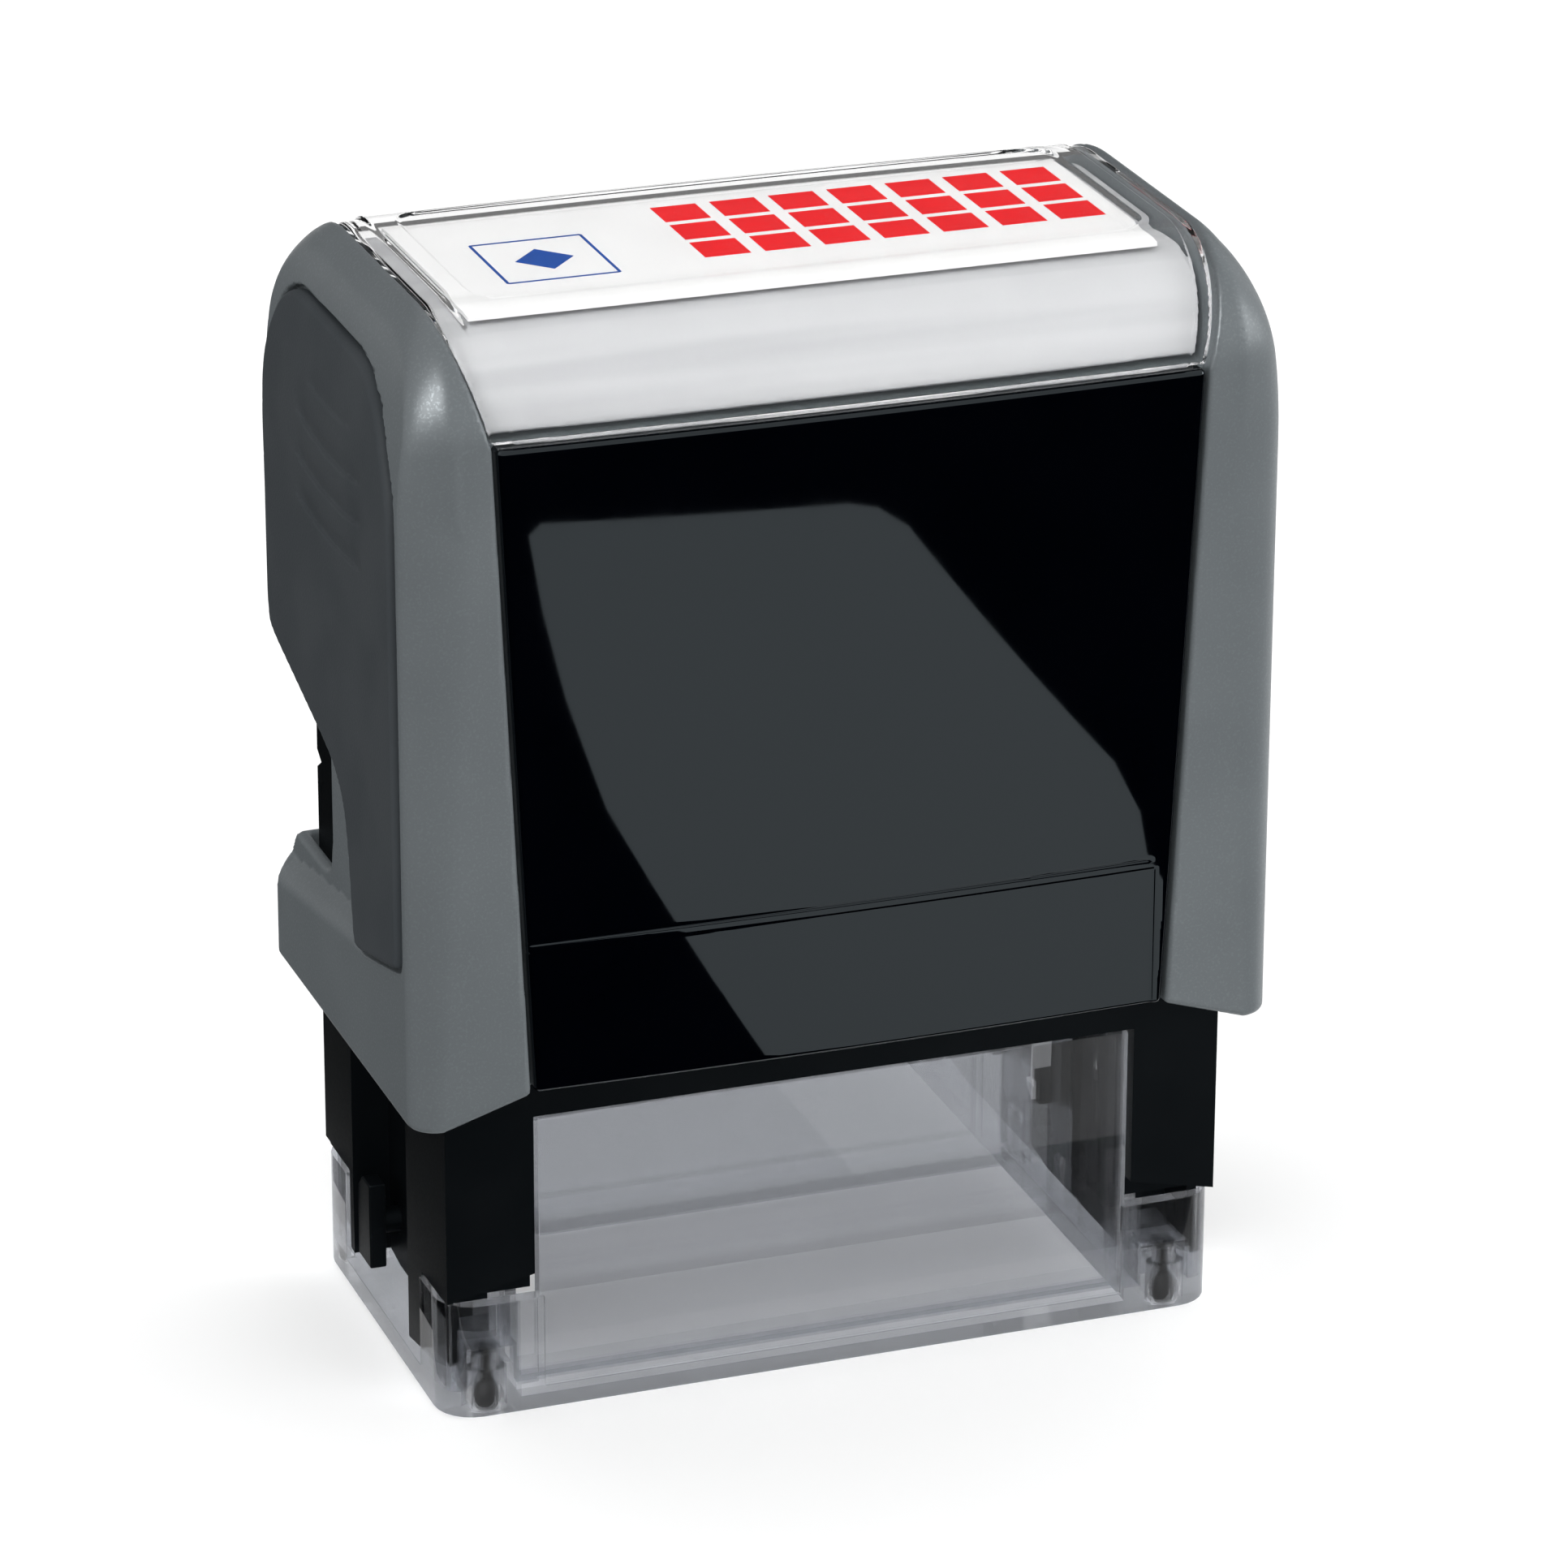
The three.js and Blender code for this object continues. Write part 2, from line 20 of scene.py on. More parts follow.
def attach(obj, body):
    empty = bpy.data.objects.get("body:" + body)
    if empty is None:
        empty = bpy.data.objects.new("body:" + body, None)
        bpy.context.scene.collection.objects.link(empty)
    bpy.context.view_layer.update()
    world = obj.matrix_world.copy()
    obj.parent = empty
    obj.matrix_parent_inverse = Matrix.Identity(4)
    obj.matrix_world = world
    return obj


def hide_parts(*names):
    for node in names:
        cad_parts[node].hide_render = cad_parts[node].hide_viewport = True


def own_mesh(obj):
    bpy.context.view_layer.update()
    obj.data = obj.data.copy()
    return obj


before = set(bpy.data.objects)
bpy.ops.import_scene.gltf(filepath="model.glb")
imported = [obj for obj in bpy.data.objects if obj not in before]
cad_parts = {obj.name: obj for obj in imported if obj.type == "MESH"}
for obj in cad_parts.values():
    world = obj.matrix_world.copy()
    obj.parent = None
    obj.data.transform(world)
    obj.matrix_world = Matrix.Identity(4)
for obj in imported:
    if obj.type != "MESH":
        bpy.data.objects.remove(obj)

MM = 0.001
TINY = 1e-6
LOG = logging.getLogger("stamp")

Field = np.ndarray
Shape = Callable[[Field, Field, Field], Field]
Piece = bpy.types.Object
Socket = bpy.types.NodeSocket
Point = tuple[float, float]
Colour = tuple[float, float, float]
Place = tuple[float, float, float]


# ---------------------------------------------------------------- signed distances

def cut(a: Field, b: Field, radius: Field | float) -> Field:
    """What lies inside both shapes, with the edge between them rounded.

    Args:
        a: distance to the first shape, negative inside.
        b: distance to the second shape.
        radius: radius of the rounded edge.

    Returns:
        Distance to the common part.
    """
    outer = np.hypot(np.maximum(a + radius, 0), np.maximum(b + radius, 0))
    return np.minimum(np.maximum(a, b), -radius) + outer


def overlap(*shapes: Field) -> Field:
    """Distance to what lies inside every shape, with sharp edges."""
    return reduce(np.maximum, shapes)


def union(*shapes: Field) -> Field:
    """Distance to what lies inside any shape, with sharp edges."""
    return reduce(np.minimum, shapes)


def ramp(value: Field) -> Field:
    """A smooth step from 0 at value 0 to 1 at value 1."""
    t = np.clip(value, 0, 1)
    return t * t * (3 - 2 * t)


def dome(across: Field, z: Field, half: float, flat: float, shoulder: float, top: float) -> Field:
    """Distance to an outline with an upright side, an elliptical shoulder and a flat top.

    Args:
        across: distance from the middle plane.
        z: height.
        half: half width of the upright side.
        flat: half width of the flat top.
        shoulder: height at which the shoulder starts.
        top: height of the flat top.

    Returns:
        The distance, negative inside.
    """
    q, p = across - flat, z - shoulder
    a, b = half - flat, top - shoulder
    q1, p1 = np.maximum(q, TINY), np.maximum(p, TINY)
    k0 = np.hypot(q1 / a, p1 / b)
    k1 = np.hypot(q1 / a ** 2, p1 / b ** 2)
    curved = k0 * (k0 - 1) / k1
    return np.where((q > 0) & (p > 0), curved, np.maximum(across - half, z - top))


def polygon(u: Field, v: Field, points: list[Point]) -> Field:
    """Distance to a closed polygon, negative inside.

    Args:
        u: first coordinate.
        v: second coordinate.
        points: the corners in order.

    Returns:
        The distance at each (u, v).
    """
    shape = np.broadcast(u, v).shape
    nearest, sign = np.full(shape, np.inf), np.ones(shape)
    for (ax, ay), (bx, by) in zip(points, points[1:] + points[:1]):
        ex, ey = bx - ax, by - ay
        wx, wy = u - ax, v - ay
        t = np.clip((wx * ex + wy * ey) / (ex * ex + ey * ey), 0, 1)
        nearest = np.minimum(nearest, (wx - ex * t) ** 2 + (wy - ey * t) ** 2)
        above, below, left = v >= ay, v < by, ex * wy > ey * wx
        sign = np.where((above & below & left) | (~above & ~below & ~left), -sign, sign)
    return sign * np.sqrt(nearest)


SIDE_SHARE = 0.45      # most of a side that one corner's curve takes up


def softened(points: list[Point], reach: float, steps: int = 6) -> list[Point]:
    """The polygon with each corner replaced by a curve.

    Args:
        points: the corners in order.
        reach: how far from the corner its curve starts, where the sides are long enough.
        steps: pieces of each curve.

    Returns:
        The corners of the smoother polygon.
    """
    made = []
    count = len(points)
    for i, corner in enumerate(points):
        here, before, after = Vector(corner), Vector(points[i - 1]), Vector(points[(i + 1) % count])
        start, end = before - here, after - here
        start *= min(reach / start.length, SIDE_SHARE)
        end *= min(reach / end.length, SIDE_SHARE)
        for k in range(steps + 1):
            t = k / steps
            point = here + start * (1 - t) ** 2 + end * t ** 2
            made.append((point.x, point.y))
    return made


def rounded_box(u: Field, v: Field, half_u: float, half_v: float, radius: float) -> Field:
    """Distance to a rectangle with rounded corners, centred on the origin."""
    a, b = np.abs(u) - half_u + radius, np.abs(v) - half_v + radius
    return np.minimum(np.maximum(a, b), 0) + np.hypot(np.maximum(a, 0), np.maximum(b, 0)) - radius


# ---------------------------------------------------------------- meshes

NUDGE = 0.0137         # keeps lattice values off the round numbers of the shapes
NEWTON_STEPS = 3
LEAST_SLOPE = 0.1
CELL_SHARE = 0.6       # how far a Newton step may move a point, in cells
SMOOTH_ANGLE = math.radians(35)
EDGE_ANGLE = math.radians(30)
FLAT_ANGLE = math.radians(1)
MERGE_M = 2e-6
BEVEL_SEGMENTS = 2


def graded(start: float, *runs: tuple[float, float]) -> Field:
    """Lattice values from a start through (end, step) runs.

    Args:
        start: the first value.
        runs: where each run ends, and its step.

    Returns:
        The values in rising order, nudged off round numbers.
    """
    values = [start]
    for end, step in runs:
        count = max(1, round((end - values[-1]) / step))
        values.extend(np.linspace(values[-1], end, count + 1)[1:])
    return np.array(values) + NUDGE


def both_ways(*runs: tuple[float, float]) -> Field:
    """Lattice values that run from the middle plane both ways by the same runs."""
    half = graded(0.0, *runs) - NUDGE
    return np.concatenate([-half[:0:-1], half]) + NUDGE


def gradient(shape: Shape, points: Field, step: float = 0.02) -> Field:
    """Slope of a distance at each point."""
    slopes = []
    for axis in range(3):
        shift = np.zeros(3)
        shift[axis] = step
        slopes.append((shape(*(points + shift).T) - shape(*(points - shift).T)) / (2 * step))
    return np.stack(slopes, 1)


def new_object(name: str, mesh: bpy.types.Mesh) -> Piece:
    """A linked object with that mesh, at the origin."""
    made = bpy.data.objects.new(name, mesh)
    bpy.context.scene.collection.objects.link(made)
    return made


def cast(name: str, shape: Shape, x: Field, y: Field, z: Field) -> Piece:
    """A closed mesh on the zero surface of a distance, by surface nets.

    Args:
        name: name of the piece.
        shape: signed distance in millimetres.
        x: lattice values along X.
        y: lattice values along Y.
        z: lattice values along Z.

    Returns:
        The object, with normals taken from the distance.
    """
    size = (len(x), len(y), len(z))
    field = np.broadcast_to(shape(x[:, None, None], y[None, :, None], z[None, None, :]), size)
    inside = field < 0
    corners = [(i, j, k) for i in (0, 1) for j in (0, 1) for k in (0, 1)]
    filled = sum(inside[i:size[0] - 1 + i, j:size[1] - 1 + j, k:size[2] - 1 + k].astype(np.int8)
                 for i, j, k in corners)
    active = (filled > 0) & (filled < 8)
    cells = np.argwhere(active)
    number = np.full(active.shape, -1)
    number[active] = np.arange(len(cells))

    total, hits = np.zeros((len(cells), 3)), np.zeros(len(cells))
    for corner in corners:
        for axis in range(3):
            if corner[axis]:
                continue
            other = list(corner)
            other[axis] = 1
            low, high = cells + corner, cells + other
            a, b = field[tuple(low.T)], field[tuple(high.T)]
            crossed = (a < 0) != (b < 0)
            t = np.where(crossed, a / np.where(crossed, a - b, 1), 0)
            start = np.stack([x[low[:, 0]], y[low[:, 1]], z[low[:, 2]]], 1)
            end = np.stack([x[high[:, 0]], y[high[:, 1]], z[high[:, 2]]], 1)
            total += crossed[:, None] * (start + (end - start) * t[:, None])
            hits += crossed
    points = total / hits[:, None]
    cell = np.stack([np.diff(axis)[cells[:, i]] for i, axis in enumerate((x, y, z))], 1)
    for _ in range(NEWTON_STEPS):
        slope = gradient(shape, points)
        steepness = np.maximum((slope ** 2).sum(1), LEAST_SLOPE)[:, None]
        move = -shape(*points.T)[:, None] * slope / steepness
        points = points + np.clip(move, -CELL_SHARE * cell, CELL_SHARE * cell)
    normals = gradient(shape, points)
    normals /= np.maximum(np.linalg.norm(normals, axis=1), TINY)[:, None]

    quads = []
    for axis in range(3):
        first = np.take(inside, range(size[axis] - 1), axis)
        second = np.take(inside, range(1, size[axis]), axis)
        edges = np.argwhere(first != second)
        b, c = (axis + 1) % 3, (axis + 2) % 3
        for side in (b, c):
            edges = edges[(edges[:, side] > 0) & (edges[:, side] < size[side] - 1)]
        ring = []
        for back_b, back_c in ((1, 1), (0, 1), (0, 0), (1, 0)):
            around = edges.copy()
            around[:, b] -= back_b
            around[:, c] -= back_c
            ring.append(number[tuple(around.T)])
        quad = np.stack(ring, 1)
        outward = first[tuple(edges.T)]
        quads.append(np.where(outward[:, None], quad, quad[:, ::-1]))
    faces = np.concatenate(quads)

    mesh = bpy.data.meshes.new(name)
    mesh.from_pydata((points * MM).tolist(), [], faces.tolist())
    mesh.shade_smooth()
    mesh.normals_split_custom_set_from_vertices(normals.tolist())
    return new_object(name, mesh)


def lofted(name: str, sections: list[list[Vector]], smooth: bool = True) -> Piece:
    """A closed skin through equal rings of points, capped at both ends.

    Args:
        name: name of the piece.
        sections: rings of points in millimetres, in order along the piece.
        smooth: whether faces shade smoothly across gentle edges.

    Returns:
        The object.
    """
    bm = bmesh.new()
    rings = [[bm.verts.new(point * MM) for point in ring] for ring in sections]
    for low, high in zip(rings, rings[1:]):
        count = len(low)
        for i in range(count):
            bm.faces.new((low[i], low[(i + 1) % count], high[(i + 1) % count], high[i]))
    bm.faces.new(rings[0][::-1])
    bm.faces.new(rings[-1])
    bmesh.ops.recalc_face_normals(bm, faces=bm.faces)
    mesh = bpy.data.meshes.new(name)
    bm.to_mesh(mesh)
    bm.free()
    if smooth:
        mesh.shade_smooth()
        mesh.set_sharp_from_angle(angle=SMOOTH_ANGLE)
    return new_object(name, mesh)


def settled(piece: Piece) -> Piece:
    """The piece with its modifiers turned into a plain mesh."""
    graph = bpy.context.evaluated_depsgraph_get()
    graph.update()
    mesh = bpy.data.meshes.new_from_object(piece.evaluated_get(graph))
    piece.modifiers.clear()
    piece.data = mesh
    return piece


def refined(name: str, node: str, bevel: float) -> Piece:
    """A copy of a CAD node with its doubles merged and its edges rounded.

    Args:
        name: name of the piece.
        node: the CAD node it stands for.
        bevel: width of the rounded edges in millimetres.

    Returns:
        The object, standing for the CAD node.
    """
    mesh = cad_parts[node].data.copy()
    bm = bmesh.new()
    bm.from_mesh(mesh)
    bmesh.ops.remove_doubles(bm, verts=bm.verts, dist=MERGE_M)
    bmesh.ops.dissolve_limit(bm, angle_limit=FLAT_ANGLE, verts=bm.verts, edges=bm.edges)
    bm.to_mesh(mesh)
    bm.free()
    mesh.materials.clear()
    mesh.shade_smooth()
    piece = new_object(name, mesh)
    edge = piece.modifiers.new("edges", "BEVEL")
    edge.width = bevel * MM
    edge.segments = BEVEL_SEGMENTS
    edge.limit_method = "ANGLE"
    edge.angle_limit = EDGE_ANGLE
    edge.harden_normals = False
    even = piece.modifiers.new("even", "WEIGHTED_NORMAL")
    even.keep_sharp = True
    settled(piece)
    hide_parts(node)
    return piece


# ---------------------------------------------------------------- shaders

class Wire:
    """A socket of a shader node, so that shader maths reads as an expression."""

    def __init__(self, recipe: "Recipe", socket: Socket) -> None:
        """Wraps an output socket of the recipe's tree."""
        self.recipe, self.socket = recipe, socket

    def maths(self, operation: str, a: "Wire | float", b: "Wire | float") -> "Wire":
        """The result of a Math node on two values."""
        return self.recipe.node("ShaderNodeMath", {"operation": operation}, {0: a, 1: b})

    def __add__(self, other: "Wire | float") -> "Wire":
        """Sum."""
        return self.maths("ADD", self, other)

    def __sub__(self, other: "Wire | float") -> "Wire":
        """Difference."""
        return self.maths("SUBTRACT", self, other)

    def __rsub__(self, other: float) -> "Wire":
        """Difference from a number."""
        return self.maths("SUBTRACT", other, self)

    def __mul__(self, other: "Wire | float") -> "Wire":
        """Product."""
        return self.maths("MULTIPLY", self, other)

    __radd__ = __add__
    __rmul__ = __mul__

    def above(self, low: float, high: float) -> "Wire":
        """A smooth step from 0 at low to 1 at high."""
        settings = {"interpolation_type": "SMOOTHSTEP"}
        values = {"Value": self, "From Min": low, "From Max": high}
        return self.recipe.node("ShaderNodeMapRange", settings, values)


def add_node(tree: bpy.types.NodeTree, kind: str, settings: dict | None,
             values: dict | None) -> bpy.types.Node:
    """Adds a node to a shader or geometry tree.

    Args:
        tree: the tree.
        kind: the node's type.
        settings: properties, set before the sockets.
        values: numbers, colours, sockets or wires, by input name, identifier or place.

    Returns:
        The node.
    """
    made = tree.nodes.new(kind)
    for key, value in (settings or {}).items():
        setattr(made, key, value)
    for key, value in (values or {}).items():
        source = value.socket if isinstance(value, Wire) else value
        socket = made.inputs[key] if isinstance(key, int) else next(
            s for s in made.inputs if key in (s.identifier, s.name) and s.enabled)
        if isinstance(source, Socket):
            tree.links.new(source, socket)
        else:
            socket.default_value = source
    return made


class Recipe:
    """The node tree of one material."""

    def __init__(self, name: str) -> None:
        """Starts an empty material."""
        self.material = bpy.data.materials.new(name)
        self.material.use_nodes = True
        self.tree = self.material.node_tree
        self.tree.nodes.clear()

    def node(self, kind: str, settings: dict | None = None, values: dict | None = None,
             output: int | str = 0) -> Wire:
        """Adds a node.

        Args:
            kind: the node's type.
            settings: properties, as for add_node.
            values: numbers, colours or wires, as for add_node.
            output: the output that is returned.

        Returns:
            The wire from that output.
        """
        made = add_node(self.tree, kind, settings, values)
        if not made.outputs:
            return Wire(self, None)
        if isinstance(output, int):
            return Wire(self, made.outputs[output])
        return Wire(self, next(s for s in made.outputs if output in (s.identifier, s.name) and s.enabled))

    def place(self) -> Wire:
        """The piece's own coordinates in millimetres."""
        metres = self.node("ShaderNodeTexCoord", output="Object")
        return self.node("ShaderNodeVectorMath", {"operation": "SCALE"}, {0: metres, "Scale": 1000.0})

    def noise(self, where: Wire, scale: float, detail: float = 2.0) -> Wire:
        """Smooth noise from 0 to 1 with that many waves to the millimetre."""
        return self.node("ShaderNodeTexNoise", values={"Vector": where, "Scale": scale, "Detail": detail})

    def mixed(self, factor: Wire, a: Colour, b: Colour) -> Wire:
        """A colour between two."""
        values = {"Factor_Float": factor, "A_Color": (*a, 1), "B_Color": (*b, 1)}
        return self.node("ShaderNodeMix", {"data_type": "RGBA"}, values, "Result_Color")

    def bump(self, height: Wire, depth: float) -> Wire:
        """A normal roughened by a height, in millimetres of depth."""
        return self.node("ShaderNodeBump", values={"Height": height, "Strength": 1.0, "Distance": depth * MM})

    def finished(self, shader: Wire) -> bpy.types.Material:
        """The material, ending in that shader."""
        self.node("ShaderNodeOutputMaterial", values={"Surface": shader})
        return self.material


@dataclass(frozen=True)
class Moulding:
    """A moulded or pressed finish with a fine grain."""

    slot: str
    colour: Colour
    second_tone: Colour
    roughness: tuple[float, float]
    grain: float = 6.0
    grain_depth: float = 0.003
    metallic: float = 0.0
    specular: float = 0.5
    tint: Colour = (1.0, 1.0, 1.0)
    stretch: tuple[float, float, float] = (1.0, 1.0, 1.0)
    cloud_scale: float = 0.12
    cloud_range: Point = (0.35, 0.65)

    def material(self) -> bpy.types.Material:
        """Builds the node material."""
        recipe = Recipe(self.slot)
        where = recipe.place()
        drawn = recipe.node("ShaderNodeVectorMath", {"operation": "MULTIPLY"}, {0: where, 1: self.stretch})
        cloud = recipe.noise(drawn, self.cloud_scale).above(*self.cloud_range)
        grain = recipe.noise(where, self.grain)
        low, high = self.roughness
        shader = recipe.node("ShaderNodeBsdfPrincipled", values={
            "Base Color": recipe.mixed(cloud, self.colour, self.second_tone),
            "Roughness": grain * (high - low) + low,
            "Metallic": self.metallic,
            "Specular IOR Level": self.specular,
            "Specular Tint": (*self.tint, 1),
            "Normal": recipe.bump(grain, self.grain_depth),
        })
        return recipe.finished(shader)


@dataclass(frozen=True)
class Pearl:
    """Satin moulding with small bright flakes in it."""

    slot: str
    colour: Colour
    flake: Colour
    roughness: float = 0.40
    flakes_per_mm: float = 5.0
    specular: float = 0.3
    flake_range: Point = (0.5, 0.72)
    flake_tint: float = 0.16
    flake_gloss: float = 0.05
    flake_metal: float = 0.1
    flake_depth: float = 0.0012
    metallic: float = 0.15
    cloud_scale: float = 0.08
    cloud_range: Point = (0.3, 0.7)
    cloud_tint: float = 0.08

    def material(self) -> bpy.types.Material:
        """Builds the node material."""
        recipe = Recipe(self.slot)
        where = recipe.place()
        speckle = recipe.noise(where, self.flakes_per_mm, 1.0).above(*self.flake_range)
        cloud = recipe.noise(where, self.cloud_scale).above(*self.cloud_range)
        tint = speckle * self.flake_tint + cloud * self.cloud_tint
        shader = recipe.node("ShaderNodeBsdfPrincipled", values={
            "Base Color": recipe.mixed(tint, self.colour, self.flake),
            "Roughness": self.roughness - speckle * self.flake_gloss,
            "Metallic": speckle * self.flake_metal + self.metallic,
            "Specular IOR Level": self.specular,
            "Normal": recipe.bump(speckle, self.flake_depth),
        })
        return recipe.finished(shader)


@dataclass(frozen=True)
class ClearPlastic:
    """Clear moulding: tinted glass, part of which (the veil) lets light pass straight through."""

    slot: str
    colour: Colour
    shade: Colour
    ior: float
    veil: float
    flow_scale: float = 0.15
    flow_range: Point = (0.3, 0.7)
    flow_dim: float = 0.985
    roughness: float = 0.01
    flow_roughness: float = 0.02

    def material(self) -> bpy.types.Material:
        """Builds the node material."""
        recipe = Recipe(self.slot)
        where = recipe.place()
        flow = recipe.noise(where, self.flow_scale).above(*self.flow_range)
        glass = recipe.node("ShaderNodeBsdfPrincipled", values={
            "Base Color": recipe.mixed(flow, self.colour, tuple(c * self.flow_dim for c in self.colour)),
            "Roughness": flow * self.flow_roughness + self.roughness,
            "IOR": self.ior,
            "Transmission Weight": 1.0,
        })
        through = recipe.node("ShaderNodeBsdfTransparent", values={"Color": (*self.shade, 1)})
        shadow = recipe.node("ShaderNodeLightPath", output="Is Shadow Ray")
        straight = shadow.maths("MAXIMUM", shadow, self.veil)
        return recipe.finished(recipe.node("ShaderNodeMixShader", values={0: straight, 1: glass, 2: through}))


class Finish(Enum):
    """Every finish of the stamp."""

    HOUSING_GREY = Pearl("satin_grey", (0.112, 0.126, 0.134), (0.24, 0.27, 0.28))
    PANEL_BLACK = Moulding("gloss_black", (0.0002, 0.0004, 0.0010), (0.0003, 0.0005, 0.0012), (0.012, 0.03),
                           0.5, 0.0, specular=0.45, tint=(0.80, 0.93, 1.0))
    FRAME_BLACK = Moulding("satin_black", (0.0012, 0.0018, 0.0024), (0.002, 0.0026, 0.0032), (0.42, 0.52),
                           5.0, 0.004, specular=0.08, tint=(0.75, 0.9, 1.0))
    GRIP_GREY = Moulding("soft_grip", (0.034, 0.040, 0.045), (0.039, 0.045, 0.050), (0.6, 0.75),
                         5.0, 0.02, specular=0.12)
    CLEAR_BASE = ClearPlastic("clear_plastic", (0.62, 0.63, 0.65), (0.66, 0.67, 0.69), 1.42, 0.4)
    CLEAR_COVER = ClearPlastic("clear_plastic", (0.985, 0.985, 0.985), (0.98, 0.98, 0.98), 1.12, 0.0)
    CARD_WHITE = Moulding("card_white", (0.71, 0.71, 0.71), (0.70, 0.70, 0.70), (0.6, 0.7),
                          3.0, 0.002, specular=0.0)
    # The bed's darker second tone lies in bands along X, from noise stretched across Y and Z.
    BED_WHITE = Moulding("card_white", (0.43, 0.435, 0.445), (0.37, 0.375, 0.385), (0.5, 0.6),
                         3.0, 0.002, specular=0.1, stretch=(0.08, 3.0, 3.0))
    FOOT_BLACK = Moulding("foot_rubber", (0.004, 0.004, 0.004), (0.006, 0.006, 0.006), (0.4, 0.6),
                          4.0, 0.01, specular=0.2)
    DIE_RED = Moulding("die_rubber", (0.24, 0.05, 0.035), (0.30, 0.06, 0.045), (0.6, 0.8), 4.0, 0.01)
    PAD_RED = Moulding("pad_felt", (0.30, 0.012, 0.018), (0.20, 0.008, 0.014), (0.85, 0.98), 3.0, 0.08)
    SPRING_STEEL = Moulding("spring_steel", (0.55, 0.56, 0.58), (0.62, 0.63, 0.65), (0.22, 0.34),
                            3.0, 0.002, 1.0)
    PRINT_RED = Moulding("card_white", (0.66, 0.009, 0.013), (0.63, 0.008, 0.012), (0.6, 0.7),
                         3.0, 0.001, specular=0.0)
    PRINT_BLUE = Moulding("card_white", (0.008, 0.058, 0.28), (0.007, 0.054, 0.26), (0.6, 0.7),
                          3.0, 0.001, specular=0.0)


_materials: dict[Finish, bpy.types.Material] = {}


def material_of(finish: Finish) -> bpy.types.Material:
    """The material of a finish, made when it is first asked for."""
    if finish not in _materials:
        _materials[finish] = finish.value.material()
    return _materials[finish]


def dress(piece: Piece, finish: Finish, body: str) -> Piece:
    """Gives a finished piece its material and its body.

    Args:
        piece: the object, with its final mesh.
        finish: its finish.
        body: the CAD body it moves with.

    Returns:
        The same object.
    """
    piece.data.materials.clear()
    piece.data.materials.append(material_of(finish))
    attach(piece, body)
    LOG.info("%s: %d faces on %s", piece.name, len(piece.data.polygons), body)
    return piece


# ---------------------------------------------------------------- geometry nodes

class Tree:
    """A geometry node tree with named inputs, made for one piece."""

    def __init__(self, name: str, inputs: dict[str, float]) -> None:
        """Starts a tree with float inputs and one geometry output."""
        self.group = bpy.data.node_groups.new(name, "GeometryNodeTree")
        self.group.interface.new_socket("Geometry", in_out="OUTPUT", socket_type="NodeSocketGeometry")
        self.identifiers = {}
        self.values = inputs
        for label in inputs:
            socket = self.group.interface.new_socket(label, in_out="INPUT", socket_type="NodeSocketFloat")
            self.identifiers[label] = socket.identifier
        self.inlet = self.group.nodes.new("NodeGroupInput")

    def size(self, label: str) -> Socket:
        """The named input."""
        return self.inlet.outputs[label]

    def add(self, kind: str, settings: dict | None = None, values: dict | None = None) -> Socket:
        """Adds a node, as add_node does, and returns its first output."""
        return add_node(self.group, kind, settings, values).outputs[0]

    def product(self, a: Socket, b: float) -> Socket:
        """A socket's value times a number."""
        return self.add("ShaderNodeMath", {"operation": "MULTIPLY"}, {0: a, 1: b})

    def point(self, x: Socket, y: Socket,
              z: Socket) -> Socket:
        """A vector of three sockets."""
        return self.add("ShaderNodeCombineXYZ", values={"X": x, "Y": y, "Z": z})

    def piece(self, name: str, shape: Socket, finish: Finish) -> Piece:
        """Ends the tree and turns what it makes into a plain mesh.

        Args:
            name: name of the piece.
            shape: the geometry made so far.
            finish: its finish.

        Returns:
            The object.
        """
        material = material_of(finish)
        real = self.add("GeometryNodeRealizeInstances", values={0: shape})
        coated = self.add("GeometryNodeSetMaterial", values={"Geometry": real, "Material": material})
        outlet = self.group.nodes.new("NodeGroupOutput")
        self.group.links.new(coated, outlet.inputs[0])
        made = new_object(name, bpy.data.meshes.new(name))
        modifier = made.modifiers.new("shape", "NODES")
        modifier.node_group = self.group
        for label, identifier in self.identifiers.items():
            modifier[identifier] = float(self.values[label])
        return settled(made)


def block_row(name: str, centre: Vector, size: Vector, counts: tuple[int, int], pitch: Point,
              finish: Finish) -> Piece:
    """A grid of equal blocks in the plane of X and Y.

    Args:
        name: name of the piece.
        centre: middle of the grid, in millimetres.
        size: size of one block.
        counts: blocks along X and Y.
        pitch: distance between neighbours along X and Y.
        finish: their finish.

    Returns:
        The object.
    """
    tree = Tree(name, {"Pitch X": pitch[0] * MM, "Pitch Y": pitch[1] * MM,
                       "Block X": size.x * MM, "Block Y": size.y * MM, "Block Z": size.z * MM})
    spread_x = tree.product(tree.size("Pitch X"), float(counts[0] - 1))
    spread_y = tree.product(tree.size("Pitch Y"), float(counts[1] - 1))
    grid = tree.add("GeometryNodeMeshGrid", values={
        "Size X": spread_x, "Size Y": spread_y, "Vertices X": counts[0], "Vertices Y": counts[1]})
    moved = tree.add("GeometryNodeTransform", values={"Geometry": grid, "Translation": tuple(centre * MM)})
    box = tree.add("GeometryNodeMeshCube", values={
        "Size": tree.point(tree.size("Block X"), tree.size("Block Y"), tree.size("Block Z"))})
    rows = tree.add("GeometryNodeInstanceOnPoints", values={"Points": moved, "Instance": box})
    return tree.piece(name, rows, finish)


# ---------------------------------------------------------------- the housing and what it carries

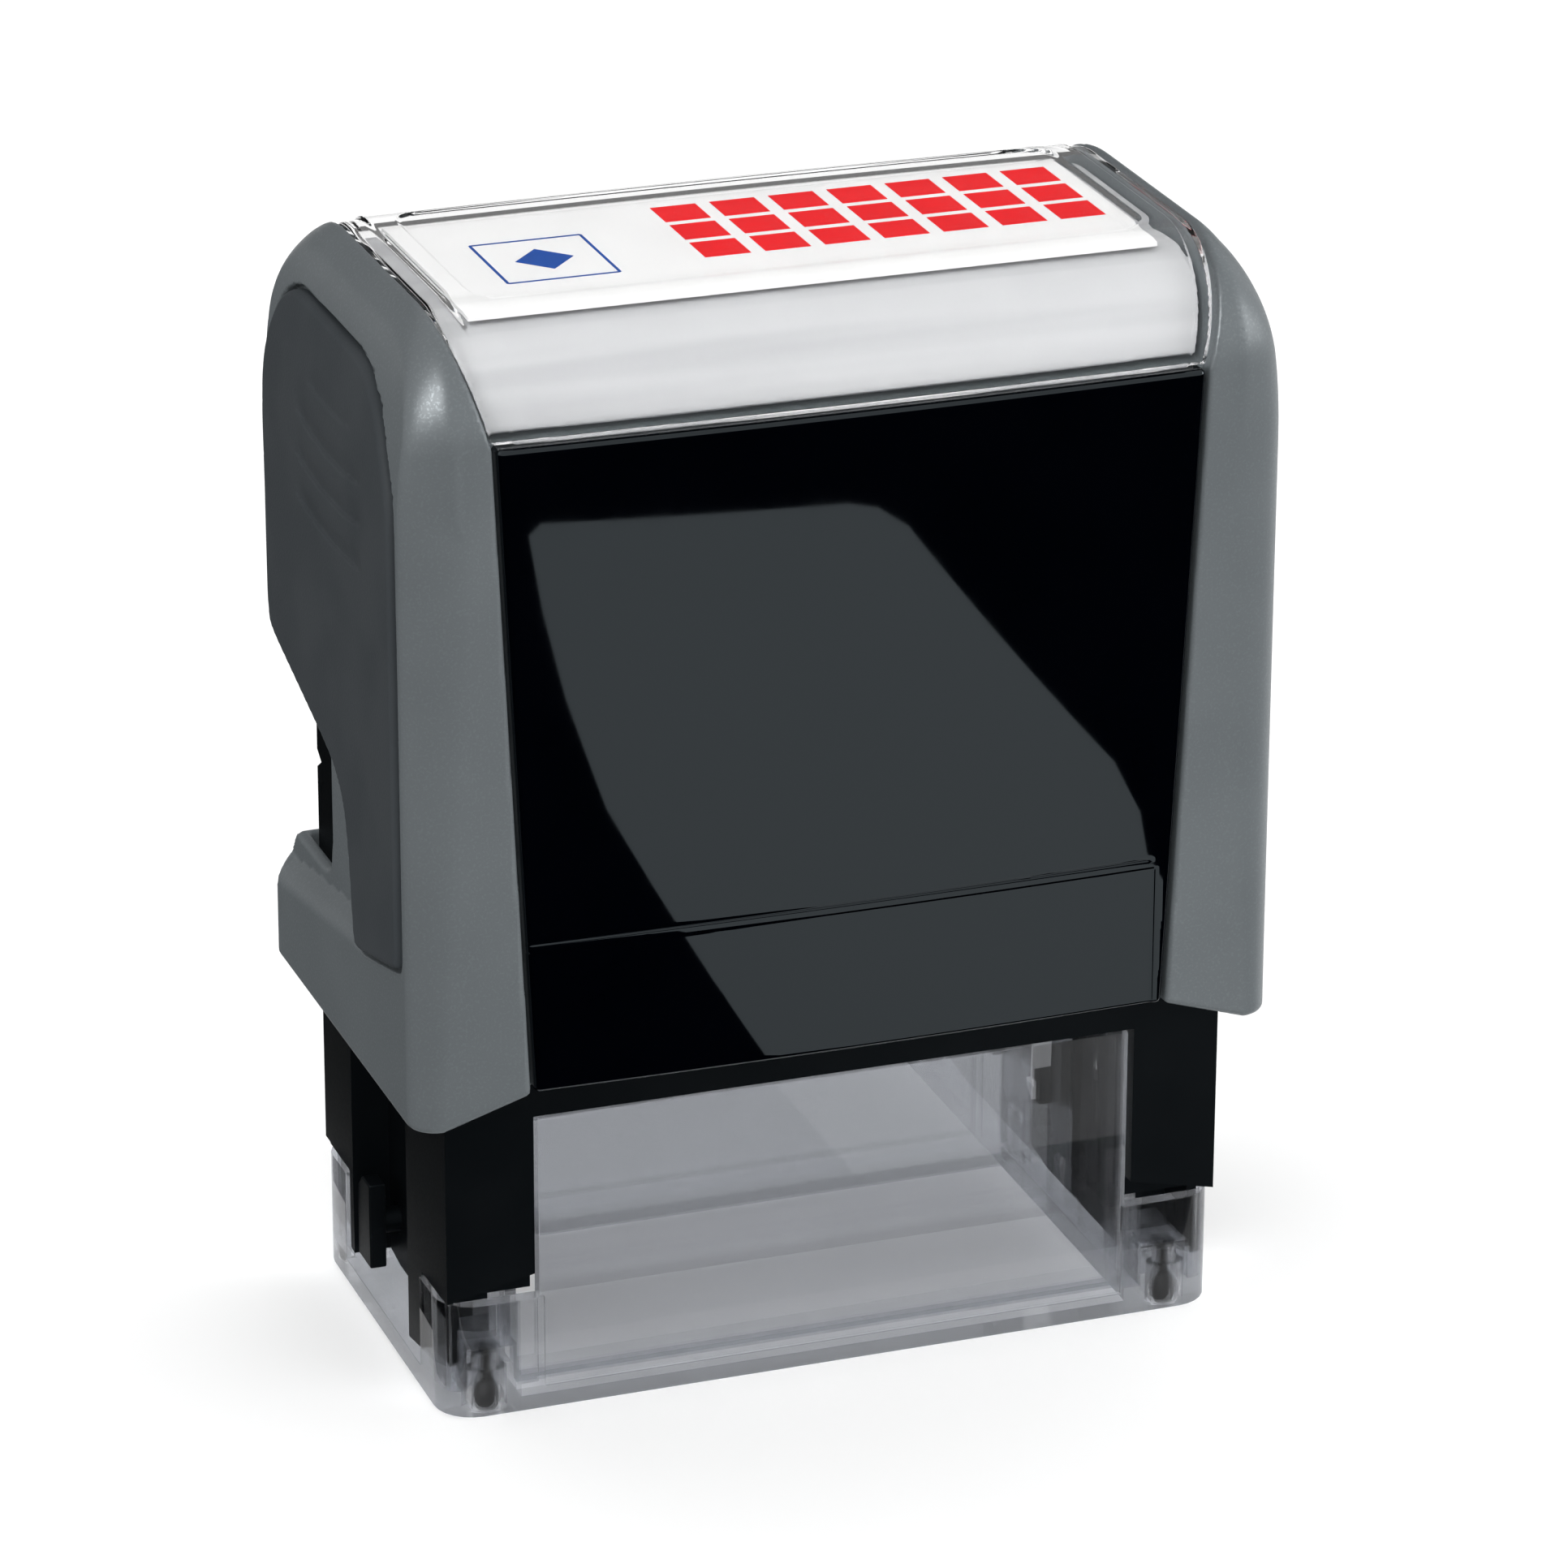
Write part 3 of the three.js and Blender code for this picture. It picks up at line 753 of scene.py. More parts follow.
@dataclass
class Form:
    """The outer form that housing, panels, cover and grips share."""

    half_width: float = 33.6
    half_depth: float = 19.3
    height: float = 85.3
    top_flat_y: float = 9.0
    shoulder_z: float = 76.5
    top_flat_x: float = 29.2
    arm_shoulder_z: float = 70.0
    bow: float = 0.65
    bow_x: float = 31.3
    corner_x: Point = (2.2, 5.5)
    corner_y: float = 2.1
    corner_z: Point = (25.0, 76.0)
    corner_share: float = 0.9
    corner_least: float = 0.3
    seam_low: Point = (27.2, 24.5)
    seam_mid: Point = (76.75, 26.85)
    seam_top: Point = (85.3, 29.2)

    def depth(self, x: Field, y: Field, z: Field) -> Field:
        """Distance to the bowed front and rear faces and the rounded top."""
        across = np.abs(y) + self.bow * (x / self.bow_x) ** 2
        return dome(across, z, self.half_depth, self.top_flat_y, self.shoulder_z, self.height)

    def width(self, x: Field, z: Field) -> Field:
        """Distance to the sides, which lean in towards the top."""
        return dome(np.abs(x), z, self.half_width, self.top_flat_x, self.arm_shoulder_z, self.height)

    def seam(self, z: Field) -> Field:
        """Half width of panels and cover at a height."""
        zs, ws = zip(self.seam_low, self.seam_mid, self.seam_top)
        return np.interp(z, zs, ws)

    def arm_x(self, z: Field) -> Field:
        """Half width of the housing at a height."""
        rise = np.clip((z - self.arm_shoulder_z) / (self.height - self.arm_shoulder_z), 0, 1)
        return self.top_flat_x + (self.half_width - self.top_flat_x) * np.sqrt(1 - rise ** 2)

    def solid(self, x: Field, y: Field, z: Field) -> Field:
        """Distance to the whole outer form with its upright edges rounded."""
        along = np.interp(z, self.corner_z, self.corner_x)
        room = (self.arm_x(z) - self.seam(z)) * self.corner_share
        along = np.clip(np.minimum(along, room), self.corner_least, None)
        back = np.minimum(self.corner_y, along)
        return cut(self.depth(x, y, z) / back, self.width(x, z) / along, 1.0) * back


# Outlines (y, z) on the housing's sides.
GRIP_OUTLINE: list[Point] = [
    (-15.6, 72.5), (-15.8, 37.4), (-15.2, 36.8), (-5.6, 34.5), (-4.7, 35), (-4, 41), (-3, 45), (-0.6, 47.2),
    (2.6, 48.3), (15.2, 52), (16.3, 53), (16.6, 70), (16, 75), (13.6, 79), (10.6, 80.3), (-6.6, 80.1),
    (-11.4, 77.8)]
NOTCH_OUTLINE: list[Point] = [
    (7.2, 38), (7.8, 35.4), (9.2, 35), (60, 35), (60, 53.4), (16.3, 52.4), (7.2, 49.6)]
NECK_OUTLINE: list[Point] = [
    (-4.6, 31.0), (-4.6, 34.4), (-3.9, 41), (-2.9, 45), (-0.6, 47), (2.6, 48.2), (25, 54), (25, 27)]
# Each finger groove: its rear, middle and front (y, z), and its depth.
GROOVES: list[tuple[Point, Point, Point, float]] = [
    ((5.9, 75.3), (-0.7, 74.8), (-6.9, 75.2), 0.12), ((8.3, 72.5), (0, 71.3), (-9.5, 72.0), 0.24),
    ((8.3, 69.0), (0.4, 68.1), (-9.6, 68.8), 0.24), ((8.3, 65.8), (0.2, 64.9), (-9.4, 65.4), 0.24)]


@dataclass
class Housing:
    """The grey shell that is pressed down, with its panels, bed, cover and grips."""

    form: Form
    gap: float = 0.3
    bottom: float = 24.9
    arm_rise: float = 2.3
    rise_x: float = 31.4
    rise_run: float = 6.9
    cavity: tuple[float, float, float, float] = (31.05, 16.3, 75.9, 80.1)
    hollow_depth: float = 5.2
    hollow_bottom: float = 74.0
    seat_depth: float = 3.7
    seat_drop: float = 0.2
    mouth_y: float = 10.0
    ledge: float = 35.0
    crease_y: Point = (-3.7, 17.0)
    crease_z: Point = (34.5, 31.3)
    neck_slope: float = 1.05
    neck_inset: float = 1.6
    chamfer_at: Point = (19.3, 31.2)
    chamfer_normal: Point = (3.8, 2.6)
    chamfer_top: float = 40.0
    panel_thickness: float = 1.6
    panel_clearance: float = 0.1
    panel_top: float = 76.75
    front_bottom: float = 27.2
    rear_bottom: float = 67.5
    label_depth: float = 0.1
    label_corner: Point = (23.9, 38.3)
    label_blend: Point = (0.4, 0.3)
    line_depth: float = 0.05
    line_end: Point = (23.6, 39.0)
    line_blend: Point = (0.6, 0.13)
    grip_sink: float = 0.9
    grip_depths: Point = (0.4, 0.6)
    groove_lips: Point = (1.1, 0.16)
    groove_ends: Point = (2.5, 3.0)
    bed_depths: Point = (2.15, 3.4)
    bed_inset: float = 0.2
    cover_bottom: float = 77.0
    cover_thickness: float = 1.3
    window: tuple[float, float, float] = (25.6, 10.4, 2.4)
    window_depth: float = 0.24
    window_blend: float = 0.5
    window_low: float = 84.2
    window_rise: float = 0.6
    step_depth: float = 0.28
    step_width: float = 1.5
    step_blend: float = 0.4
    card_half_y: float = 10.4
    card_depths: Point = (1.6, 1.85)
    card_inset: float = 2.5
    card_steps: int = 8
    mark_lift: float = 0.015

    def grip_outline(self) -> list[Point]:
        """The grips' outline with its corners softened."""
        return softened(GRIP_OUTLINE, reach=2.2)

    def hollow(self, x: Field, y: Field, z: Field) -> Field:
        """Distance to the shaft inside the housing and the space under its roof."""
        ax = np.abs(x)
        half_x, half_y, shaft_top, hollow_top = self.cavity
        shaft = overlap(ax - half_x, np.abs(y) - half_y, z - shaft_top)
        deep = self.form.depth(x, y, z) + self.hollow_depth
        return union(shaft, overlap(ax - half_x, deep, z - hollow_top, self.hollow_bottom - z))

    def seats(self, x: Field, y: Field, z: Field) -> Field:
        """Distance to the places of the bed, of both panels and of the cartridge."""
        between = np.abs(x) - self.form.seam(z) - self.gap
        under = z - self.cover_bottom
        face = self.form.half_depth - self.panel_thickness - self.gap
        bed = overlap(between, self.cover_bottom - self.seat_drop - z,
                      -(self.form.depth(x, y, z) + self.seat_depth))
        front = overlap(between, under, y + face)
        rear = overlap(between, under, face - y, self.rear_bottom - self.gap - z)
        mouth = overlap(between, z - self.rear_bottom, self.mouth_y - y, self.ledge - z)
        return union(bed, front, rear, mouth)

    def neck(self, x: Field, y: Field, z: Field) -> Field:
        """Distance to what is taken off the sides where the neck steps in above the ring."""
        crease = np.interp(y, self.crease_y, self.crease_z)
        inset = np.minimum(self.neck_slope * (z - crease), self.neck_inset)
        return overlap(polygon(y, z, NECK_OUTLINE), self.form.half_width - inset - np.abs(x))

    def chamfer(self, y: Field, z: Field) -> Field:
        """Distance to what is taken off the ring's upper rear edge."""
        (at_y, at_z), (run_y, run_z) = self.chamfer_at, self.chamfer_normal
        slope = ((y - at_y) * run_y + (z - at_z) * run_z) / math.hypot(run_y, run_z)
        return overlap(-slope, z - self.chamfer_top)

    def shell(self, x: Field, y: Field, z: Field) -> Field:
        """Distance to the grey housing."""
        low = self.bottom + self.arm_rise * np.clip((self.rise_x - np.abs(x)) / self.rise_run, 0, 1)
        body = cut(self.form.solid(x, y, z), low - z, radius=0.5)
        body = cut(body, -self.hollow(x, y, z), radius=0.25)
        body = cut(body, -self.seats(x, y, z), radius=0.3)
        body = cut(body, -polygon(y, z, softened(NOTCH_OUTLINE, reach=1.0)), radius=0.35)
        body = cut(body, -self.neck(x, y, z), radius=0.6)
        body = cut(body, -self.chamfer(y, z), radius=0.2)
        sunk = overlap(polygon(y, z, self.grip_outline()) - self.gap,
                       -(self.form.width(x, z) + self.grip_sink))
        return cut(body, -sunk, radius=0.15)

    def build_shell(self) -> None:
        """Casts the grey housing."""
        x = both_ways((22, 4.4), (24, 0.5), (29.6, 0.4), (30.4, 0.8), (32, 0.32), (34.2, 0.3))
        y = graded(-19.9, (-16, 0.3), (-13, 0.5), (-5.4, 0.6), (5.4, 0.45), (12.6, 0.6), (16.4, 0.38),
                   (19.9, 0.35))
        z = graded(24.4, (28, 0.3), (31, 0.6), (37.6, 0.38), (46, 0.6), (53, 0.42), (66, 1.3), (72, 0.6),
                   (75.4, 0.4), (78, 0.3), (82, 0.4), (85.9, 0.33))
        piece = cast("housing_shell", self.shell, x, y, z)
        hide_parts("housing")
        dress(piece, Finish.HOUSING_GREY, "housing")

    def groove(self, y: Field, z: Field) -> Field:
        """Depth of the finger grooves in a grip."""
        depth = np.zeros(np.broadcast(y, z).shape)
        over, under = self.groove_lips
        front_end, rear_end = self.groove_ends
        for rear, middle, front, deep in GROOVES:
            ys, zs = zip(front, middle, rear)
            lift = z - np.polyval(np.polyfit(ys, zs, 2), y)
            fade = np.where(lift > 0, np.exp(-(lift / over) ** 2), np.exp(-(lift / under) ** 2))
            ends = ramp((y - ys[0]) / front_end) * ramp((ys[2] - y) / rear_end)
            depth = depth + deep * fade * ends
        return depth

    def grip(self, side: int) -> Shape:
        """Distance to a grip on one side, which is -1 or 1."""
        outline = self.grip_outline()
        skin_depth, back_depth = self.grip_depths

        def distance(x: Field, y: Field, z: Field) -> Field:
            """Distance to the grip."""
            width = self.form.width(x, z)
            skin = cut(width - skin_depth + self.groove(y, z), polygon(y, z, outline), radius=0.5)
            return np.maximum(cut(skin, -(width + back_depth), radius=0.1), -side * x)

        return distance

    def build_grips(self) -> None:
        """Casts the soft inlays of both sides."""
        for name, side in (("left", -1), ("right", 1)):
            x = graded(30.6, (32.8, 0.36), (34.4, 0.2))
            y = graded(-17.2, (16.4, 0.3))
            z = graded(34.0, (38, 0.3), (40, 0.4), (53, 0.34), (63, 0.8), (77, 0.24), (80.6, 0.3))
            piece = cast(f"grip_inlay_{name}", self.grip(side), x if side > 0 else -x[::-1], y, z)
            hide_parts(f"grip_{name}")
            dress(piece, Finish.GRIP_GREY, "housing")

    def panel(self, side: int, bottom: float) -> Shape:
        """Distance to the front (-1) or rear (1) panel."""
        form = self.form

        def distance(x: Field, y: Field, z: Field) -> Field:
            """Distance to the panel."""
            ax = np.abs(x)
            face = form.half_depth - form.bow * (x / form.bow_x) ** 2
            if side < 0:
                (right, top), (across, upwards) = self.label_corner, self.label_blend
                face = face - self.label_depth * ramp((right - x) / across) * ramp(0.5 + (top - z) / upwards)
                (right, level), (across, thickness) = self.line_end, self.line_blend
                line = (z - level) / thickness
                face = face - self.line_depth * np.exp(-line ** 2) * ramp((right - x) / across)
            sides = cut(ax - form.seam(z), np.maximum(bottom - z, z - self.panel_top), radius=0.4)
            back = face - self.panel_thickness + self.panel_clearance - side * y
            return np.maximum(cut(side * y - face, sides, radius=0.45), back)

        return distance

    def build_panels(self) -> None:
        """Casts the polished panels of front and rear."""
        y = graded(17.0, (19.6, 0.16))
        x = both_ways((22.8, 0.76), (27.2, 0.16))
        z = graded(26.9, (28.2, 0.16), (37.6, 0.9), (39.6, 0.1), (75.6, 1.0), (77, 0.16))
        front = cast("panel_front", self.panel(-1, self.front_bottom), x, -y[::-1], z)
        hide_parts("front_panel")
        dress(front, Finish.PANEL_BLACK, "housing")
        x = both_ways((26, 1.0), (27.2, 0.16))
        z = graded(67.2, (68.4, 0.16), (75.6, 0.8), (77, 0.16))
        rear = cast("panel_rear", self.panel(1, self.rear_bottom), x, y, z)
        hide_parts("rear_panel")
        dress(rear, Finish.PANEL_BLACK, "housing")

    def bed(self, x: Field, y: Field, z: Field) -> Field:
        """Distance to the white bed, a curved sheet that follows the top."""
        outer, inner = self.bed_depths
        depth = self.form.depth(x, y, z)
        low = self.cover_bottom + self.seat_drop
        ends = np.maximum(np.abs(x) - self.form.seam(z) + self.bed_inset, low - z)
        return np.maximum(cut(depth + outer, ends, radius=0.3), -(depth + inner))

    def cover(self, x: Field, y: Field, z: Field) -> Field:
        """Distance to the clear cover, with its label window and end steps."""
        depth = self.form.depth(x, y, z)
        seam = self.form.seam(z)
        window = rounded_box(x, y, *self.window)
        top = ramp((z - self.window_low) / self.window_rise)
        pane = self.window_depth * ramp(0.5 - window / self.window_blend) * top
        step = self.step_depth * ramp(0.5 + (np.abs(x) - seam + self.step_width) / self.step_blend)
        ends = np.maximum(np.abs(x) - seam, self.cover_bottom - z)
        skin = cut(depth + (pane + step), ends, radius=0.3)
        return cut(skin, -(depth + self.cover_thickness), radius=0.12)

    def build_top(self) -> None:
        """Casts the white bed and the clear cover, and lofts the card between them."""
        x = both_ways((24.4, 1.4), (30, 0.3))
        y = both_ways((7.6, 0.8), (20, 0.36))
        z = graded(76.6, (84, 0.34), (85.8, 0.22))
        bed = cast("label_bed", self.bed, x, y, z)
        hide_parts("top_bed")
        dress(bed, Finish.BED_WHITE, "housing")
        x = both_ways((24.6, 1.2), (29.6, 0.17))
        y = both_ways((9.4, 0.94), (11.6, 0.17), (19.8, 0.3))
        z = graded(76.6, (78, 0.2), (83.6, 0.3), (85.6, 0.16))
        cover = cast("clear_cover", self.cover, x, y, z)
        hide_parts("index_cover")
        dress(cover, Finish.CLEAR_COVER, "cover")
        self.build_card()

    def card_profile(self, offset: float) -> list[Point]:
        """Points (y, z) across the card at a depth under the top."""
        form = self.form
        a, b = form.half_depth - form.top_flat_y - offset, form.height - form.shoulder_z - offset
        limit = math.asin((self.card_half_y - form.top_flat_y) / a)
        turns = [limit * t / self.card_steps for t in range(self.card_steps + 1)]
        half = [(form.top_flat_y + a * math.sin(t), form.shoulder_z + b * math.cos(t)) for t in turns]
        return [(-y, z) for y, z in half[::-1]] + half

    def build_card(self) -> None:
        """Lofts the printed card and lays its plain marks on it."""
        top, under = (self.card_profile(depth) for depth in self.card_depths)
        rings = []
        for (y0, z0), (y1, z1) in zip(top, under):
            reach = float(self.form.seam(np.float64(z0))) - self.card_inset
            rings.append([Vector((-reach, y0, z0)), Vector((reach, y0, z0)), Vector((reach, y1, z1)),
                          Vector((-reach, y1, z1))])
        card = lofted("printed_card", rings)
        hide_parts("index_card")
        dress(card, Finish.CARD_WHITE, "housing")

        level = self.form.height - self.card_depths[0] + self.mark_lift
        bars = block_row("print_blocks", centre=Vector((9.3, 2.2, level)), size=Vector((3.5, 3.6, 0.03)),
                         counts=(7, 3), pitch=(4.6, 4.4), finish=Finish.PRINT_RED)
        dress(bars, Finish.PRINT_RED, "housing")
        self.build_emblem(level)

    def build_emblem(self, level: float) -> None:
        """Lays a framed diamond on the card, at a height in millimetres."""
        centre, half, line = Vector((-17.3, -0.5, level)), Vector((4.2, 4.6, 0)), 0.22
        bars = [(0, half.y, half.x, line / 2), (0, -half.y, half.x, line / 2),
                (half.x, 0, line / 2, half.y), (-half.x, 0, line / 2, half.y)]
        parts = [(f"print_frame_{i + 1}",
                  [(x - lx, y - ly), (x + lx, y - ly), (x + lx, y + ly), (x - lx, y + ly)])
                 for i, (x, y, lx, ly) in enumerate(bars)]
        parts.append(("print_diamond", [(0, -2.4), (2.2, 0), (0, 2.4), (-2.2, 0)]))
        for name, outline in parts:
            rings = [[centre + Vector((x, y, lift)) for x, y in outline] for lift in (-0.014, 0.016)]
            dress(lofted(name, rings, smooth=False), Finish.PRINT_BLUE, "housing")

    def build_sliders(self) -> None:
        """Rounds the legs that hold the platen's ends."""
        for name in ("left", "right"):
            leg = refined(f"platen_leg_{name}", f"slider_{name}", bevel=0.2)
            dress(leg, Finish.FRAME_BLACK, "housing")

    def build(self) -> None:
        """Builds every piece that moves with the housing, and the cover."""
        self.build_shell()
        self.build_grips()
        self.build_panels()
        self.build_top()
        self.build_sliders()


# ---------------------------------------------------------------- the base

# Radius and height of a foot at each ring, from the paper up: a ball, then a thin neck.
FOOT_PROFILE: list[Point] = [
    (0.02, 0), (0.7, 0), (1.0, 0.15), (1.22, 0.5), (1.3, 1.0), (1.25, 1.45), (1.1, 1.85), (0.8, 2.2),
    (0.5, 2.4), (0.4, 4.5), (0.3, 4.6), (0.02, 4.6)]
FOOT_SIDES = 40


@dataclass
class Base:
    """The clear foot, the black frame inside the housing, the feet, springs and locks."""

    spring_x: float = 28.05
    spring_seat: float = 38.0
    spring_low: float = 38.66
    spring_high: float = 79.14
    coil_radius: float = 1.8
    coil_sides: int = 24
    wire_radius: float = 0.36
    wire_sides: int = 10
    turns: float = 11.0
    stroke: float = 23.8
    foot_x: float = 27.1
    foot_y: float = 13.7

    def build_frame(self) -> None:
        """Rounds the black frame and the clear base."""
        dress(refined("frame_tower", "inner_frame", bevel=0.25), Finish.FRAME_BLACK, "base")
        dress(refined("base_clear", "clear_base", bevel=0.15), Finish.CLEAR_BASE, "base")

    def build_feet(self) -> None:
        """Turns the four round feet."""
        turns = [2 * math.pi * i / FOOT_SIDES for i in range(FOOT_SIDES)]
        for fy, front in ((-1, "front"), (1, "rear")):
            for fx, side in ((-1, "left"), (1, "right")):
                rings = [[Vector((fx * self.foot_x + r * math.cos(t), fy * self.foot_y + r * math.sin(t), z))
                          for t in turns] for r, z in FOOT_PROFILE]
                foot = lofted(f"foot_{front}_{side}_rubber", rings)
                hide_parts(f"foot_{front}_{side}")
                dress(foot, Finish.FOOT_BLACK, "base")

    def build_springs(self) -> None:
        """Winds both springs with geometry nodes."""
        for name, side in (("left", -1), ("right", 1)):
            tree = Tree(f"spring_tree_{name}", {
                "Coil Radius": self.coil_radius * MM, "Wire Radius": self.wire_radius * MM,
                "Length": (self.spring_high - self.spring_low) * MM})
            coil = tree.add("GeometryNodeCurveSpiral", values={
                "Resolution": self.coil_sides, "Rotations": self.turns, "Height": tree.size("Length"),
                "Start Radius": tree.size("Coil Radius"), "End Radius": tree.size("Coil Radius"),
                "Reverse": False})
            wire = tree.add("GeometryNodeCurvePrimitiveCircle", values={
                "Resolution": self.wire_sides, "Radius": tree.size("Wire Radius")})
            tube = tree.add("GeometryNodeCurveToMesh", values={
                0: coil, "Profile Curve": wire, "Fill Caps": True})
            place = (side * self.spring_x * MM, 0, self.spring_low * MM)
            put = tree.add("GeometryNodeTransform", values={"Geometry": tube, "Translation": place})
            spring = tree.piece(f"spring_wire_{name}", put, Finish.SPRING_STEEL)
            spring.data.shade_smooth()
            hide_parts(f"spring_{name}")
            dress(spring, Finish.SPRING_STEEL, "base")
            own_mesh(spring)

    def build_locks(self) -> None:
        """Rounds the two catches low in the sides."""
        for name in ("left", "right"):
            catch = refined(f"lock_catch_{name}", f"lock_button_{name}", bevel=0.15)
            dress(catch, Finish.FRAME_BLACK, f"lock_{name}")

    def build(self) -> None:
        """Builds every piece of the base and its locks."""
        self.build_frame()
        self.build_feet()
        self.build_springs()
        self.build_locks()


# ---------------------------------------------------------------- the printing parts

@dataclass
class Printing:
    """The platen that flips, and the ink cartridge it rests against."""

    frame_bevel: float = 0.25
    fine_bevel: float = 0.12

    def build(self) -> None:
        """Builds the platen with its plate and die, and the cartridge with its pad."""
        rows = [("platen_block", "platen_holder", Finish.FRAME_BLACK, "platen"),
                ("platen_plate", "text_plate", Finish.CARD_WHITE, "platen"),
                ("die_rubber_sheet", "rubber_die", Finish.DIE_RED, "platen"),
                ("cartridge_body", "cartridge_tray", Finish.FRAME_BLACK, "cartridge"),
                ("cartridge_pull", "cartridge_grip", Finish.FRAME_BLACK, "cartridge"),
                ("ink_felt", "ink_pad", Finish.PAD_RED, "cartridge")]
        for name, node, finish, body in rows:
            width = self.frame_bevel if finish is Finish.FRAME_BLACK else self.fine_bevel
            dress(refined(name, node, width), finish, body)


# ---------------------------------------------------------------- studio

# The hole (x, y) in the dark card, whose bright shape the front panel reflects.
CARD_HOLE: list[Point] = [
    (12.5, -45), (12.5, -133), (15, -160), (18, -183), (21.5, -204), (24, -207), (66, -200), (69.5, -197.5),
    (71.5, -191), (71, -124), (68.5, -112), (65, -103), (60, -75), (56, -45)]
NEAR_BLACK: Colour = (0.001, 0.001, 0.001)


